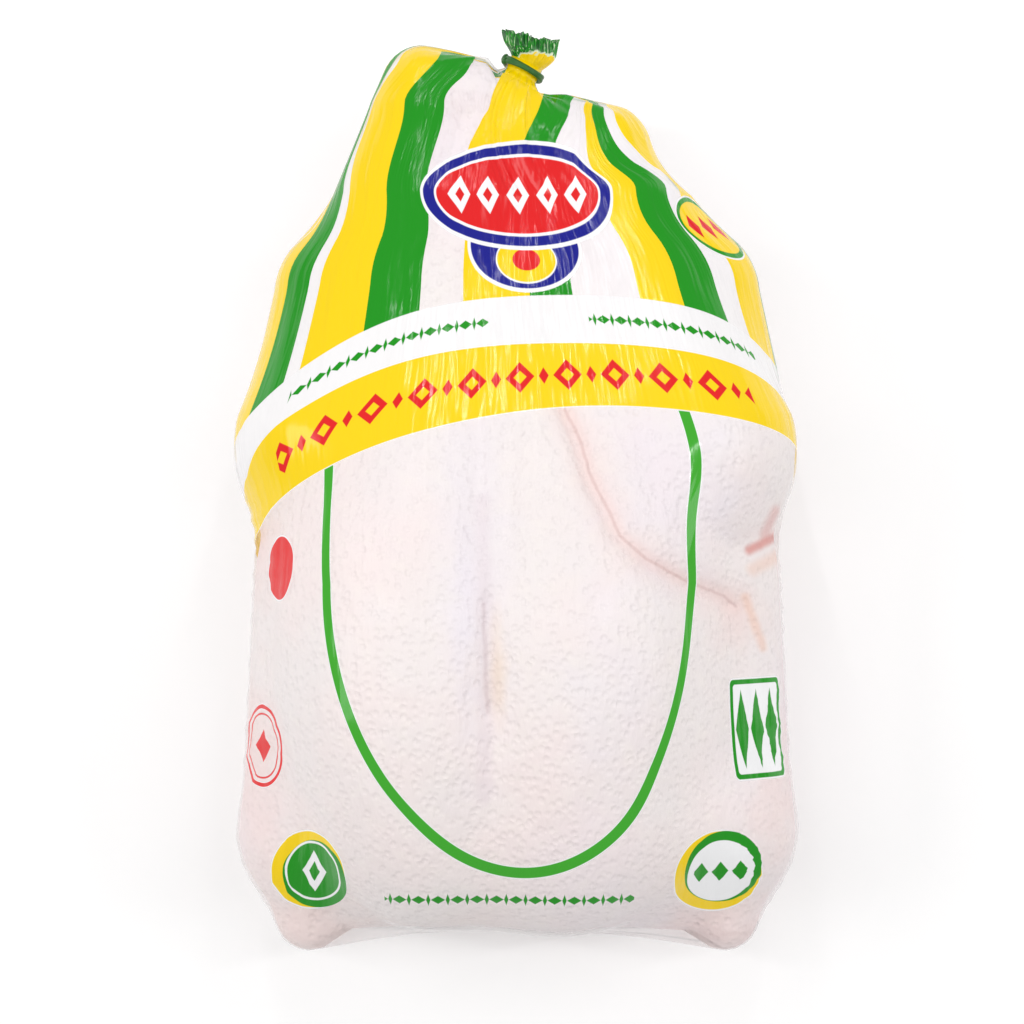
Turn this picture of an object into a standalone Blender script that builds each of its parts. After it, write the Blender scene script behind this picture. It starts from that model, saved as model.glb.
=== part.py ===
"""A whole raw chicken sealed in a printed clear bag, lying on its back with the breast up.

+Y runs from the wings to the gathered neck of the bag, and +X to the right, seen from above.
The bird's form is a smooth union of ellipsoids and tapered limbs. The bag is a closed sphere
pulled onto that form like a taut film, which bridges the creases and narrows to the tied neck.
Lengths are in millimetres until a mesh is written, which is in metres.
"""

import math

import bmesh
import bpy
import numpy as np

MM = 0.001

# Driving sizes of the packed bird
BAG_WIDTH = 165.0
BREAST_TOP = 101.0
HALF = BAG_WIDTH / 2
SECTION_Z = 46.0

# Torso: the back and ribs, and the two breast lobes beside the keel
MIDLINE_X = -6.0
BACK_CENTRE = (0.0, -27.0, 42.0)
BACK_RADII = (59.0, 100.0, 48.0)
BREAST_RADII = (43.0, 79.0, 42.0)
BREAST_OUT = 22.0
BREAST_Y = -47.0
BREAST_Z = BREAST_TOP - BREAST_RADII[2]
NECK_FLAP_CENTRE = (6.0, -95.0, 48.0)
NECK_FLAP_RADII = (70.0, 32.0, 38.0)

# Legs, knee first: the drumstick on top and the thigh behind it
RIGHT_DRUMSTICK = ((49.0, 12.0, 53.0), (24.5, 97.5, 45.0), 32.5, 14.5)
RIGHT_HOCK = ((13.0, 105.5, 45.0), (25.0, 99.5, 45.0), 10.0, 13.5)
LEFT_DRUMSTICK = ((-51.5, 14.0, 44.0), (-29.0, 108.0, 46.0), 31.7, 14.5)
LEFT_HOCK = ((-27.5, 117.5, 46.0), (-12.0, 117.0, 46.0), 12.0, 9.0)
THIGH_KNEE = (HALF - 28.5, 8.0, 41.0)
THIGH_HIP = (50.0, 57.0, 41.0)
THIGH_KNEE_RADIUS = 28.5
THIGH_HIP_RADIUS = 21.8

# Wings, folded flat against the sides, with the elbows at the bird's neck end
WING_RADIUS = 20.0
WING_SHOULDER = (HALF - WING_RADIUS - 5.5, -25.0, 49.0)
WING_BEND = (HALF - WING_RADIUS - 1.0, -102.0, 44.0)
ELBOW = (61.0, -125.8, 43.0)
FOREARM_RADIUS = 17.0
ELBOW_RADIUS = 10.5

# How softly neighbouring masses run into each other
BREAST_BLEND = 14.0
WING_BLEND = 10.0
LEG_BLEND = 3.0

# The flat that the bird's weight presses into its back
FLAT_EASE = 4.0

# Tied neck of the bag: the tie's centre, the tilts of its axis, and the film's radii along it
TIE_CENTRE = (1.9, 123.6, 44.0)
TIE_TILT = math.radians(28.0)
TUFT_TILT = math.radians(12.0)
GROOVE_RADIUS = 5.1
GROOVE_HALF_LENGTH = 1.9
SHOULDER_RADIUS = 6.8
SHOULDER_LENGTH = 2.5
TUFT_RADIUS = 7.6
TUFT_LENGTH = 10.0
TUFT_FLARE = 0.6
TUFT_RECESS = 3.5
RECESS_STEEPNESS = 1.5
PLEATS = 16
PLEAT_DEPTH = 0.09
PLEAT_REACH = 34.0

# Tie: two windings of a green strip, with a waist between them and rounded crests
TIE_GAP = 0.3
TIE_THICKNESS = 1.6
TIE_WINDING = 1.4
TIE_WAIST = 0.6
TIE_BEVEL = 0.5
TIE_CREST = 0.75
TIE_SEGMENTS = 40
TIE_MERGE = 0.0001

# Grid of the bag: meridians, and rings in the end cap, the body, the fan to the neck, and the neck
MERIDIANS = 80
CAP_RINGS = 18
BODY_RINGS = 28
FAN_RINGS = 13
NECK_RINGS = 3
TUFT_RINGS = 5
RECESS_RINGS = 2
CAP_Y = -78.0
FAN_Y = 86.0
FAN_X = 1.5
FAN_BACK = 34.0
FAN_TOP = math.radians(70.0)

# Rays that find the skin from outside, and the steps that draw the film taut
RAY_START = 150.0
RAY_STEPS = 60
RAY_STEP = 0.8
LEAST_RADIUS = 9.0
NECK_STEPS = 600
FILM_STEPS = 80
FILM_PULL = 0.6

BAG_COLOUR = (0.90, 0.80, 0.78, 1.0)
TIE_COLOUR = (0.03, 0.28, 0.05, 1.0)


def ellipsoid(points, centre, radii):
    """Distance to an ellipsoid, near enough for tracing."""
    scaled = (points - np.array(centre)) / np.array(radii)
    first = np.linalg.norm(scaled, axis=-1)
    second = np.linalg.norm(scaled / np.array(radii), axis=-1)
    return first * (first - 1.0) / np.maximum(second, 1e-9)


def limb(points, start, end, start_radius, end_radius):
    """Distance to a tapered limb with round ends."""
    start = np.array(start)
    along = np.array(end) - start
    share = np.clip((points - start) @ along / (along @ along), 0.0, 1.0)
    radius = start_radius + (end_radius - start_radius) * share
    return np.linalg.norm(points - start - share[..., None] * along, axis=-1) - radius


def blend(first, second, softness):
    """Smooth union of two distances."""
    mix = np.clip(0.5 + 0.5 * (second - first) / softness, 0.0, 1.0)
    return second + (first - second) * mix - softness * mix * (1.0 - mix)


def mirrored(place, side):
    return (side * place[0], place[1], place[2])


def bird(points):
    """Distance to the bird's skin."""
    body = ellipsoid(points, BACK_CENTRE, BACK_RADII)
    body = blend(body, ellipsoid(points, NECK_FLAP_CENTRE, NECK_FLAP_RADII), BREAST_BLEND)
    for side in (-1, 1):
        lobe = (MIDLINE_X + side * BREAST_OUT, BREAST_Y, BREAST_Z)
        body = blend(body, ellipsoid(points, lobe, BREAST_RADII), BREAST_BLEND)
    for side in (-1, 1):
        bend = mirrored(WING_BEND, side)
        wing = limb(points, mirrored(WING_SHOULDER, side), bend, WING_RADIUS, WING_RADIUS)
        elbow = limb(points, bend, mirrored(ELBOW, side), FOREARM_RADIUS, ELBOW_RADIUS)
        body = blend(body, blend(wing, elbow, WING_BLEND), WING_BLEND)
    for side in (-1, 1):
        thigh = limb(
            points,
            mirrored(THIGH_KNEE, side),
            mirrored(THIGH_HIP, side),
            THIGH_KNEE_RADIUS,
            THIGH_HIP_RADIUS,
        )
        body = blend(body, thigh, WING_BLEND)
    for leg in (RIGHT_DRUMSTICK, LEFT_DRUMSTICK, RIGHT_HOCK, LEFT_HOCK):
        body = blend(body, limb(points, *leg), LEG_BLEND)
    return body


def frame(tilt):
    """The neck's side, up and along directions at a tilt in the XY plane."""
    side = np.array([math.cos(tilt), -math.sin(tilt), 0.0])
    along = np.array([math.sin(tilt), math.cos(tilt), 0.0])
    return side, np.array([0.0, 0.0, 1.0]), along


def ease(share):
    """Smooth step from 0 to 1."""
    share = np.clip(share, 0.0, 1.0)
    return share * share * (3.0 - 2.0 * share)


def film_rays():
    """Origins and directions of the rays that find the bird, ring by ring, without the poles."""
    angles = 2.0 * math.pi * np.arange(MERIDIANS) / MERIDIANS
    rings = []
    for i in range(1, CAP_RINGS):
        rings.append(((0.0, CAP_Y, SECTION_Z), -math.pi / 2 * (1.0 - i / CAP_RINGS), 0.0))
    for i in range(BODY_RINGS):
        share = i / BODY_RINGS
        place = (FAN_X * share, CAP_Y + (FAN_Y - CAP_Y) * share, SECTION_Z)
        rings.append((place, 0.0, 0.0))
    fan_start = np.array([FAN_X, FAN_Y, SECTION_Z])
    fan_end = np.array(TIE_CENTRE) - FAN_BACK * frame(TIE_TILT)[2]
    for i in range(FAN_RINGS):
        share = i / (FAN_RINGS - 1)
        place = fan_start + (fan_end - fan_start) * share
        rings.append((place, FAN_TOP * share, TIE_TILT * share))
    origins, directions = [], []
    for place, rise, tilt in rings:
        side, up, along = frame(tilt)
        around = np.cos(angles)[:, None] * side + np.sin(angles)[:, None] * up
        directions.append(math.cos(rise) * around + math.sin(rise) * along)
        origins.append(np.tile(place, (MERIDIANS, 1)))
    return np.array(origins), np.array(directions)


def reach(origins, directions):
    """How far out along each ray the bird's skin lies, found from outside."""
    far = np.full(origins.shape[:-1], RAY_START)
    for _ in range(RAY_STEPS):
        far -= RAY_STEP * np.maximum(bird(origins + far[..., None] * directions), 0.0)
        far = np.maximum(far, LEAST_RADIUS)
    return far


def neck_ring(distance, radius, pleat_depth):
    """One pleated ring of film round the tied neck, at a distance along it from the tie."""
    lean = TIE_TILT + (TUFT_TILT - TIE_TILT) * ease(distance / TUFT_LENGTH)
    side, up, along = frame(lean)
    angles = 2.0 * math.pi * np.arange(MERIDIANS) / MERIDIANS
    radii = radius * (1.0 + pleat_depth * np.cos(PLEATS * angles))
    centre = np.array(TIE_CENTRE) + distance * along
    spread = np.cos(angles)[:, None] * side + np.sin(angles)[:, None] * up
    return centre + radii[:, None] * spread


def neck_radius(distance):
    """The gathered film's radius: a groove under the tie, a shoulder below and the tuft above."""
    past = abs(distance) - GROOVE_HALF_LENGTH
    if distance < 0:
        return GROOVE_RADIUS + (SHOULDER_RADIUS - GROOVE_RADIUS) * float(ease(past / SHOULDER_LENGTH))
    flare = past / (TUFT_FLARE * (TUFT_LENGTH - GROOVE_HALF_LENGTH))
    return GROOVE_RADIUS + (TUFT_RADIUS - GROOVE_RADIUS) * float(ease(flare))


def neck_rings():
    """The rings from the shoulder of the neck through the tie's groove to the tuft and its recess."""
    rings = []
    for i in range(NECK_RINGS + 1):
        share = 1.0 - i / NECK_RINGS
        distance = -GROOVE_HALF_LENGTH - SHOULDER_LENGTH * share
        rings.append(neck_ring(distance, neck_radius(distance), PLEAT_DEPTH * share))
    rings.append(neck_ring(GROOVE_HALF_LENGTH, GROOVE_RADIUS, 0.0))
    for i in range(1, TUFT_RINGS + 1):
        share = i / TUFT_RINGS
        distance = GROOVE_HALF_LENGTH + (TUFT_LENGTH - GROOVE_HALF_LENGTH) * share
        rings.append(neck_ring(distance, neck_radius(distance), PLEAT_DEPTH * share))
    for i in range(1, RECESS_RINGS + 1):
        share = i / (RECESS_RINGS + 1)
        distance = TUFT_LENGTH - TUFT_RECESS * float(ease(share * RECESS_STEEPNESS))
        rings.append(neck_ring(distance, TUFT_RADIUS * (1.0 - share), PLEAT_DEPTH * (1.0 - share)))
    return np.array(rings)


def pressed_flat(points):
    """Lifts what lies under the resting plane onto it, with an eased edge."""
    z = points[..., 2]
    eased = (z + FLAT_EASE) ** 2 / (4.0 * FLAT_EASE)
    points[..., 2] = np.where(z < -FLAT_EASE, 0.0, np.where(z < FLAT_EASE, eased, z))
    return points


def stretched(origins, directions, held):
    """Draws the film taut over the bird: it can leave the skin and never sinks into it.

    The fan is drawn first, because it has the farthest to come, and then every ring.
    """
    skin = reach(origins, directions)
    far = skin.copy()
    for step in range(NECK_STEPS + FILM_STEPS):
        first = len(skin) - FAN_RINGS if step < NECK_STEPS else 0
        film = origins + far[..., None] * directions
        pole = film[0].mean(axis=0)
        below = np.concatenate([np.tile(pole, (1, MERIDIANS, 1)), film[:-1]])
        above = np.concatenate([film[1:], held[:1]])
        beside = np.roll(film, 1, axis=1) + np.roll(film, -1, axis=1)
        pull = (below + above + beside) / 4.0 - film
        pulled = np.maximum(skin, far + FILM_PULL * (pull * directions).sum(axis=-1))
        far[first:] = pulled[first:]
    return far


def bag_rings():
    """All rings of the bag from its end cap to the tuft's recess."""
    origins, directions = film_rays()
    neck = neck_rings()
    far = stretched(origins, directions, neck)
    angles = 2.0 * math.pi * np.arange(MERIDIANS) / MERIDIANS
    film = origins + far[..., None] * directions
    near_neck = np.linalg.norm(film - np.array(TIE_CENTRE), axis=-1)
    fade = PLEAT_DEPTH * SHOULDER_RADIUS * (1.0 - ease(near_neck / PLEAT_REACH))
    film += (fade * np.cos(PLEATS * angles))[..., None] * directions
    return np.concatenate([pressed_flat(film), neck])


def material(name, colour, roughness):
    made = bpy.data.materials.new(name)
    made.use_nodes = True
    shader = made.node_tree.nodes["Principled BSDF"]
    shader.inputs["Base Color"].default_value = colour
    shader.inputs["Roughness"].default_value = roughness
    shader.inputs["Metallic"].default_value = 0.0
    return made


def make_bag(collection, rings):
    """Pulls a sphere onto the bag's rings. The sphere's poles are the end cap and the recess."""
    count = len(rings)
    bm = bmesh.new()
    bmesh.ops.create_uvsphere(bm, u_segments=MERIDIANS, v_segments=count + 1, radius=1.0)
    for vertex in bm.verts:
        x, y, z = vertex.co
        ring = round((math.pi / 2 + math.asin(max(-1.0, min(1.0, z)))) / math.pi * (count + 1))
        if ring == 0:
            vertex.co = rings[0].mean(axis=0) * MM
        elif ring == count + 1:
            vertex.co = rings[-1].mean(axis=0) * MM
        else:
            meridian = round(math.atan2(y, x) / (2.0 * math.pi) * MERIDIANS) % MERIDIANS
            vertex.co = rings[ring - 1][meridian] * MM
    # Swapping the sphere's Y and Z turned its faces inwards.
    bmesh.ops.reverse_faces(bm, faces=bm.faces)
    mesh = bpy.data.meshes.new("bag_of_chicken")
    bm.to_mesh(mesh)
    bm.free()
    mesh.shade_smooth()
    bag = bpy.data.objects.new("bag_of_chicken", mesh)
    bag.data.materials.append(material("film_over_skin", BAG_COLOUR, 0.3))
    collection.objects.link(bag)


def make_tie(collection, middle):
    """Turns the tie's profile, two rounded windings side by side, round the neck's axis."""
    inner = GROOVE_RADIUS + TIE_GAP
    outer = inner + TIE_THICKNESS
    profile = [
        (inner, TIE_WINDING),
        (outer - TIE_BEVEL, TIE_WINDING),
        (outer, TIE_CREST),
        (outer - TIE_WAIST, 0.0),
        (outer, -TIE_CREST),
        (outer - TIE_BEVEL, -TIE_WINDING),
        (inner, -TIE_WINDING),
    ]
    bm = bmesh.new()
    corners = [bm.verts.new((x * MM, 0.0, z * MM)) for x, z in profile]
    for first, second in zip(corners, corners[1:] + corners[:1]):
        bm.edges.new((first, second))
    mesh = bpy.data.meshes.new("neck_tie")
    bm.to_mesh(mesh)
    bm.free()
    tie = bpy.data.objects.new("neck_tie", mesh)
    collection.objects.link(tie)
    turn = tie.modifiers.new("turn", "SCREW")
    turn.steps = TIE_SEGMENTS
    turn.render_steps = TIE_SEGMENTS
    turn.use_merge_vertices = True
    turn.merge_threshold = TIE_MERGE
    tie.location = (np.array(TIE_CENTRE) - middle) * MM
    tie.rotation_euler = (-math.pi / 2, 0.0, -TIE_TILT)
    tie.data.materials.append(material("green_strip", TIE_COLOUR, 0.35))


def main():
    for old in list(bpy.data.objects):
        bpy.data.objects.remove(old)
    parts = bpy.data.collections.new("bagged_chicken")
    bpy.context.scene.collection.children.link(parts)
    rings = bag_rings()
    points = rings.reshape(-1, 3)
    middle = (points.min(axis=0) + points.max(axis=0)) / 2.0 * (1.0, 1.0, 0.0)
    make_bag(parts, rings - middle)
    make_tie(parts, middle)


main()
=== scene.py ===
"""A whole raw chicken, breast up, in a clear printed bag gathered into a tied neck.

Lengths in the making of each piece are millimetres, and its mesh is written in metres.
+Y runs along the bird to the tied neck, and +Z up out of the breast.
"""

import functools
import math

import bmesh
import bpy
import numpy as np
from mathutils import Matrix, Vector


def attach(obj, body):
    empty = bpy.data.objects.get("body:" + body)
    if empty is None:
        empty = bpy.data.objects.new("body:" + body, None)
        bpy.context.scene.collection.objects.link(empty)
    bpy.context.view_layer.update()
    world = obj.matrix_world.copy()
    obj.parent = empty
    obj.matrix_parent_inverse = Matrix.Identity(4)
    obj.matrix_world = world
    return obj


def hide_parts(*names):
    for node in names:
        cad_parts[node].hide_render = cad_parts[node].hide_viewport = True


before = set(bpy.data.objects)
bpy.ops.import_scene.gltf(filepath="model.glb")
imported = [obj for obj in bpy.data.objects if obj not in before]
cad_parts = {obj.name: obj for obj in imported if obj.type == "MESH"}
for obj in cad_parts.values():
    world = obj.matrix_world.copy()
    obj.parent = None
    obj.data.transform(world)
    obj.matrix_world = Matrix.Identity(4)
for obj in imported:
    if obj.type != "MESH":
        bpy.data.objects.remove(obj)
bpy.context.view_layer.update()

MM = 0.001
ROOT = "root"
BAG_NODE = "bag_of_chicken"
TIE_NODE = "neck_tie"

# The part's origin, in the frame that the pieces are worked out in
MIDDLE = np.array((-0.246, -0.212, 0.0))

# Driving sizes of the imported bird
BAG_WIDTH = 165.0
BREAST_TOP = 101.0
HALF = BAG_WIDTH / 2
SECTION_Z = 46.0

# Torso: the back and ribs, and the two breast lobes beside the keel
MIDLINE_X = -6.0
BACK_CENTRE = (0.0, -27.0, 42.0)
BACK_RADII = (59.0, 100.0, 48.0)
BREAST_RADII = (43.0, 79.0, 42.0)
BREAST_OUT = 22.0
BREAST_Y = -47.0
BREAST_Z = BREAST_TOP - BREAST_RADII[2]
NECK_FLAP_CENTRE = (6.0, -95.0, 48.0)
NECK_FLAP_RADII = (70.0, 32.0, 38.0)

# Legs, knee first: the drumstick on top and the thigh behind it
RIGHT_DRUMSTICK = ((49.0, 12.0, 53.0), (24.5, 97.5, 45.0), 32.5, 14.5)
RIGHT_HOCK = ((13.0, 105.5, 45.0), (25.0, 99.5, 45.0), 10.0, 13.5)
LEFT_DRUMSTICK = ((-51.5, 14.0, 44.0), (-29.0, 108.0, 46.0), 31.7, 14.5)
LEFT_HOCK = ((-27.5, 117.5, 46.0), (-12.0, 117.0, 46.0), 12.0, 9.0)
THIGH_KNEE = (HALF - 28.5, 8.0, 41.0)
THIGH_HIP = (50.0, 57.0, 41.0)
THIGH_KNEE_RADIUS = 28.5
THIGH_HIP_RADIUS = 21.8

# Wings, folded flat against the sides
WING_RADIUS = 20.0
WING_SHOULDER = (HALF - WING_RADIUS - 5.5, -25.0, 49.0)
WING_BEND = (HALF - WING_RADIUS - 1.0, -102.0, 44.0)
ELBOW = (61.0, -125.8, 43.0)
FOREARM_RADIUS = 17.0
ELBOW_RADIUS = 10.5

# How softly neighbouring masses run into each other, and how much of that the bare skin keeps
BREAST_BLEND = 14.0
WING_BLEND = 10.0
LEG_BLEND = 3.0
SKIN_SOFTNESS = 0.45
FLAT_EASE = 4.0
SKIN_GAP = 0.5

# Tied neck of the bag: the tie's centre, the tilts of its axis, and the film's radii along it
TIE_CENTRE = (1.9, 123.6, 44.0)
TIE_TILT = math.radians(28.0)
TUFT_TILT = math.radians(12.0)
GROOVE_RADIUS = 5.1
GROOVE_HALF_LENGTH = 1.9
SHOULDER_RADIUS = 6.8
SHOULDER_LENGTH = 2.5
TUFT_RADIUS = 7.6
TUFT_LENGTH = 10.0
TUFT_FLARE = 0.6
PLEATS = 16
PLEAT_DEPTH = 0.09
PLEAT_REACH = 34.0

# Coarse grid that draws the film taut, and how much finer the pieces are
MERIDIANS = 80
CAP_RINGS = 18
BODY_RINGS = 28
FAN_RINGS = 13
NECK_RINGS = 3
CAP_Y = -78.0
CAP_LEVELS = 80
FAN_Y = 86.0
FAN_X = 1.5
FAN_BACK = 34.0
FAN_TOP = math.radians(70.0)
RAY_START = 150.0
RAY_STEPS = 60
RAY_STEP = 0.8
LEAST_RADIUS = 9.0
NECK_STEPS = 600
FILM_STEPS = 80
FILM_PULL = 0.6
FINER_RINGS = 3
FINER_ROUND = 4
FINE_STEPS = 60
RAY_MARGIN = 4.0

# Folds from the tie: how many round the film, phase, how they turn on the way, and height
FOLDS = (
    (9, 0.6, 1.7, 0.9),
    (14, 2.1, -1.2, 0.7),
    (23, 4.0, 2.3, 0.45),
    (37, 1.1, -2.9, 0.3),
)
FOLD_REACH = 92.0
FOLD_START = 16.0

# Short creases: place, reach across and along, slope, pitch and height, and how they wander
CREASES = (
    ((76.0, -28.0), 9.0, 18.0, 0.5, 5.5, 0.8),
    ((-76.0, -20.0), 9.0, 18.0, -0.4, 5.5, 0.8),
    ((68.0, -108.0), 13.0, 18.0, 1.1, 5.5, 0.8),
    ((-68.0, -108.0), 13.0, 18.0, -1.1, 5.5, 0.8),
    ((74.0, -75.0), 8.0, 24.0, 0.9, 6.0, 0.6),
    ((-75.0, -75.0), 8.0, 24.0, -0.9, 6.0, 0.6),
    ((-18.8, 78.0), 4.0, 28.0, math.pi / 2.0, 9.4, 0.5),
    ((-9.4, 78.0), 4.0, 28.0, math.pi / 2.0, 9.4, 0.5),
)
CREASE_WANDER = 0.8
WANDER_ACROSS = 0.21
WANDER_ALONG = 0.13

# Dents in the breast: place, reach across and along, how far it leans, and depth
DENTS = (
    ((-8.0, -62.0), 6.5, 46.0, -0.03, 2.6),
    ((-11.5, -4.0), 3.2, 32.0, 0.02, 1.9),
    ((-2.6, -4.0), 3.2, 32.0, 0.03, 1.7),
    ((-24.0, -30.0), 6.0, 40.0, 0.05, 1.0),
    ((20.0, -20.0), 7.0, 36.0, 0.0, 0.8),
)

# Creases of the skin, seen from above: path, width and depth
LEG_CREASE = (
    (8.2, 55.2), (11.1, 43.5), (13.5, 22.1), (17.9, 12.4), (20.2, 3.6), (25.5, -6.9),
    (28.4, -13.4), (35.7, -19.8), (46.3, -25.7), (58.9, -30.9), (62.7, -33.9),
)
KEEL_NOTCH = ((-9.4, -32.4), (-8.9, -46.0), (-8.2, -62.3))
CREASE_PATHS = (
    (LEG_CREASE, 2.2, 1.6),
    (LEG_CREASE, 7.0, 1.2),
    (KEEL_NOTCH, 2.0, 1.2),
)

# How much of the film's stand-off the flesh keeps, and where the film spans clear of it
FLESH_SLACK = 0.35
WAIST_X = 64.0
WAIST_EASE = 8.0
WAIST_Y = -38.0
WAIST_REACH = 16.0
DENT_FADE = 10.0

# Frilled tuft: waves of its wall and of its rim, as count, phase and height
TUFT_FINER = 4
TUFT_RINGS = 26
RECESS_RINGS = 8
TUFT_START = 1.0
TUFT_ROOT = 4.7
RECESS_DEPTH = 4.0
RECESS_TAPER = 0.45
WALL = 0.5
RIM_DIP = 1.3
FRILL_GROWTH = 1.5
RECESS_FADE = 0.7
FRILLS = ((11, 0.4, 0.04), (19, 2.0, 0.07), (29, 4.4, 0.07), (47, 1.3, 0.04))
RIM_WAVES = ((3, 1.0, 0.25), (7, 0.3, 0.3), (17, 2.2, 0.35), (31, 5.0, 0.25))

# Tie: the strands' shift along the neck, lean and turn, and the knot's lumps
STRANDS = ((0.62, math.radians(4.0), 0.3), (-0.62, math.radians(-4.0), 0.3))
STRAND_TURN = 6.0
STRAND_RADIUS = 0.68
STRAND_FLATNESS = 0.85
STRAND_SIDES = 12
STRAND_STEPS = 96
KNOT_SEGMENTS = 20
KNOT_RINGS = 12
WELD = 0.01
KNOTS = (
    ((-6.3, -0.6, 0.2), (1.0, 1.5, 1.5)),
    ((-6.0, -1.9, -0.7), (0.9, 1.2, 1.0)),
)

# The flat tube of film, and how its top stays broad where its sides gather towards the tie
TUBE_GIRTH = 440.0
GATHER_START = 72.0
GATHER_LENGTH = 50.0
GATHER_SHARE = 0.7
GATHER_SHIFT = -12.5
LEVEL_EASE = 25.0
LEVEL_STRETCH = 0.1
LEVEL_SHIFT = 2.5
SHOULDER_SHIFT = 6.0
SHOULDER_START = 111.0
SHOULDER_EASE = 16.0
LEFT_SHIFT = 5.0
LEFT_SHIFT_FROM = 5.0
LEFT_SHIFT_EASE = 12.0
MIDDLE_START = 97.0
MIDDLE_EASE = 16.0
MIDDLE_SHIFT = 7.5
MIDDLE_FROM = -36.0
MIDDLE_SPAN = 23.0
LEFT_SQUEEZE = 0.2
LEFT_SQUEEZE_FROM = -50.0
TOP_EASE = 0.2
RIGHT_GATHER_FROM = 31.0
RIGHT_GATHER_START = 84.5
RIGHT_GATHER = 0.08
RIGHT_GATHER_MORE = 0.004
RIGHT_GATHER_SPAN = 100.0
RIGHT_GATHER_EASE = 10.0

# Inks, as linear colours, and how far each covers what is under it
YELLOW_INK = (0.96, 0.67, 0.0)
GREEN_INK = (0.004, 0.29, 0.003)
LOOP_INK = (0.045, 0.40, 0.020)
BLUE_INK = (0.003, 0.006, 0.262)
RED_INK = (0.78, 0.008, 0.010)
WHITE_INK = (0.93, 0.93, 0.94)
INK_OPACITY = 0.995
RIM_OPACITY = 0.9
INK_EDGE = 0.12
CLEAR_COVER = 0.05
HAZE_COVER = 0.1
PANEL_COVER = 0.75
GAP_COVER = 0.6
# Painted reflection: how far the film covers towards its outline, where it faces away from the
# camera
EDGE_SHEEN_COVER = 0.55

# Lines round the film: middle, height, swing and bend
TOP_LINE = (16.0, -7.7, 60.9, -12.2)
BAND_LINE = (26.0, -7.9, 33.8, -2.9)
BAND_LEAST = 14.0
PANEL_TOP = 22.0
STRIPE_FOOT = 14.0
LOOP = ((2.0, -14.0), (60.5, 95.5))
LOOP_LEAN_FROM = -27.0
LOOP_LEAN = 0.11
LOOP_LINE = 3.2
KNEE_Y = 4.0
KNEE_REACH = 32.0
KNEE_SHIFT = 4.2
KNEE_SIDE = (20.0, 45.0)

# Stripes: where yellow starts, where it turns green, where green ends, and the gap's cover
STRIPES = (
    ((-215.0, -199.0, -183.0), 0.6),
    ((-165.0, -148.0, -132.0), 0.6),
    ((-116.0, -92.0, -80.5), 0.6),
    ((-74.0, -54.5, -36.0), 0.1),
    ((-20.0, 4.0, 20.5), 0.45),
    ((44.0, 59.5, 76.0), 0.6),
    ((87.0, 106.0, 122.0), 0.6),
    ((139.0, 156.0, 173.0), 0.6),
    ((188.0, 203.0, 214.0), 0.6),
)

# Rows of plain ornaments: pitch, half size, shift and ink
BAND_SPANS = ((-78.0, 74.0),)
BAND_ORNAMENTS = (
    (15.2, (4.6, 4.4), 0.0, RED_INK),
    (15.2, (2.1, 1.9), 0.0, YELLOW_INK),
    (15.2, (1.6, 2.4), 7.6, RED_INK),
)
DASH_HEIGHT = 7.0
DASH_SPANS = ((-75.0, -10.0), (25.0, 85.0))
LOW_ROW = -116.3
LOW_SPANS = ((-41.0, 37.5),)
DASHES = (
    (6.0, (2.3, 1.3), 0.0),
    (6.0, (0.7, 1.9), 3.0),
)

# Zones of the film, each with its own print: how far they reach round and along it
ZONE_RISE = 2.8
CREST_MIDDLE = 6.0
CREST_HALF = 46.0
CREST_FOOT = 53.0
UNDERSIDE_FROM = 118.0
BREAST_HALF = 50.0

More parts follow.
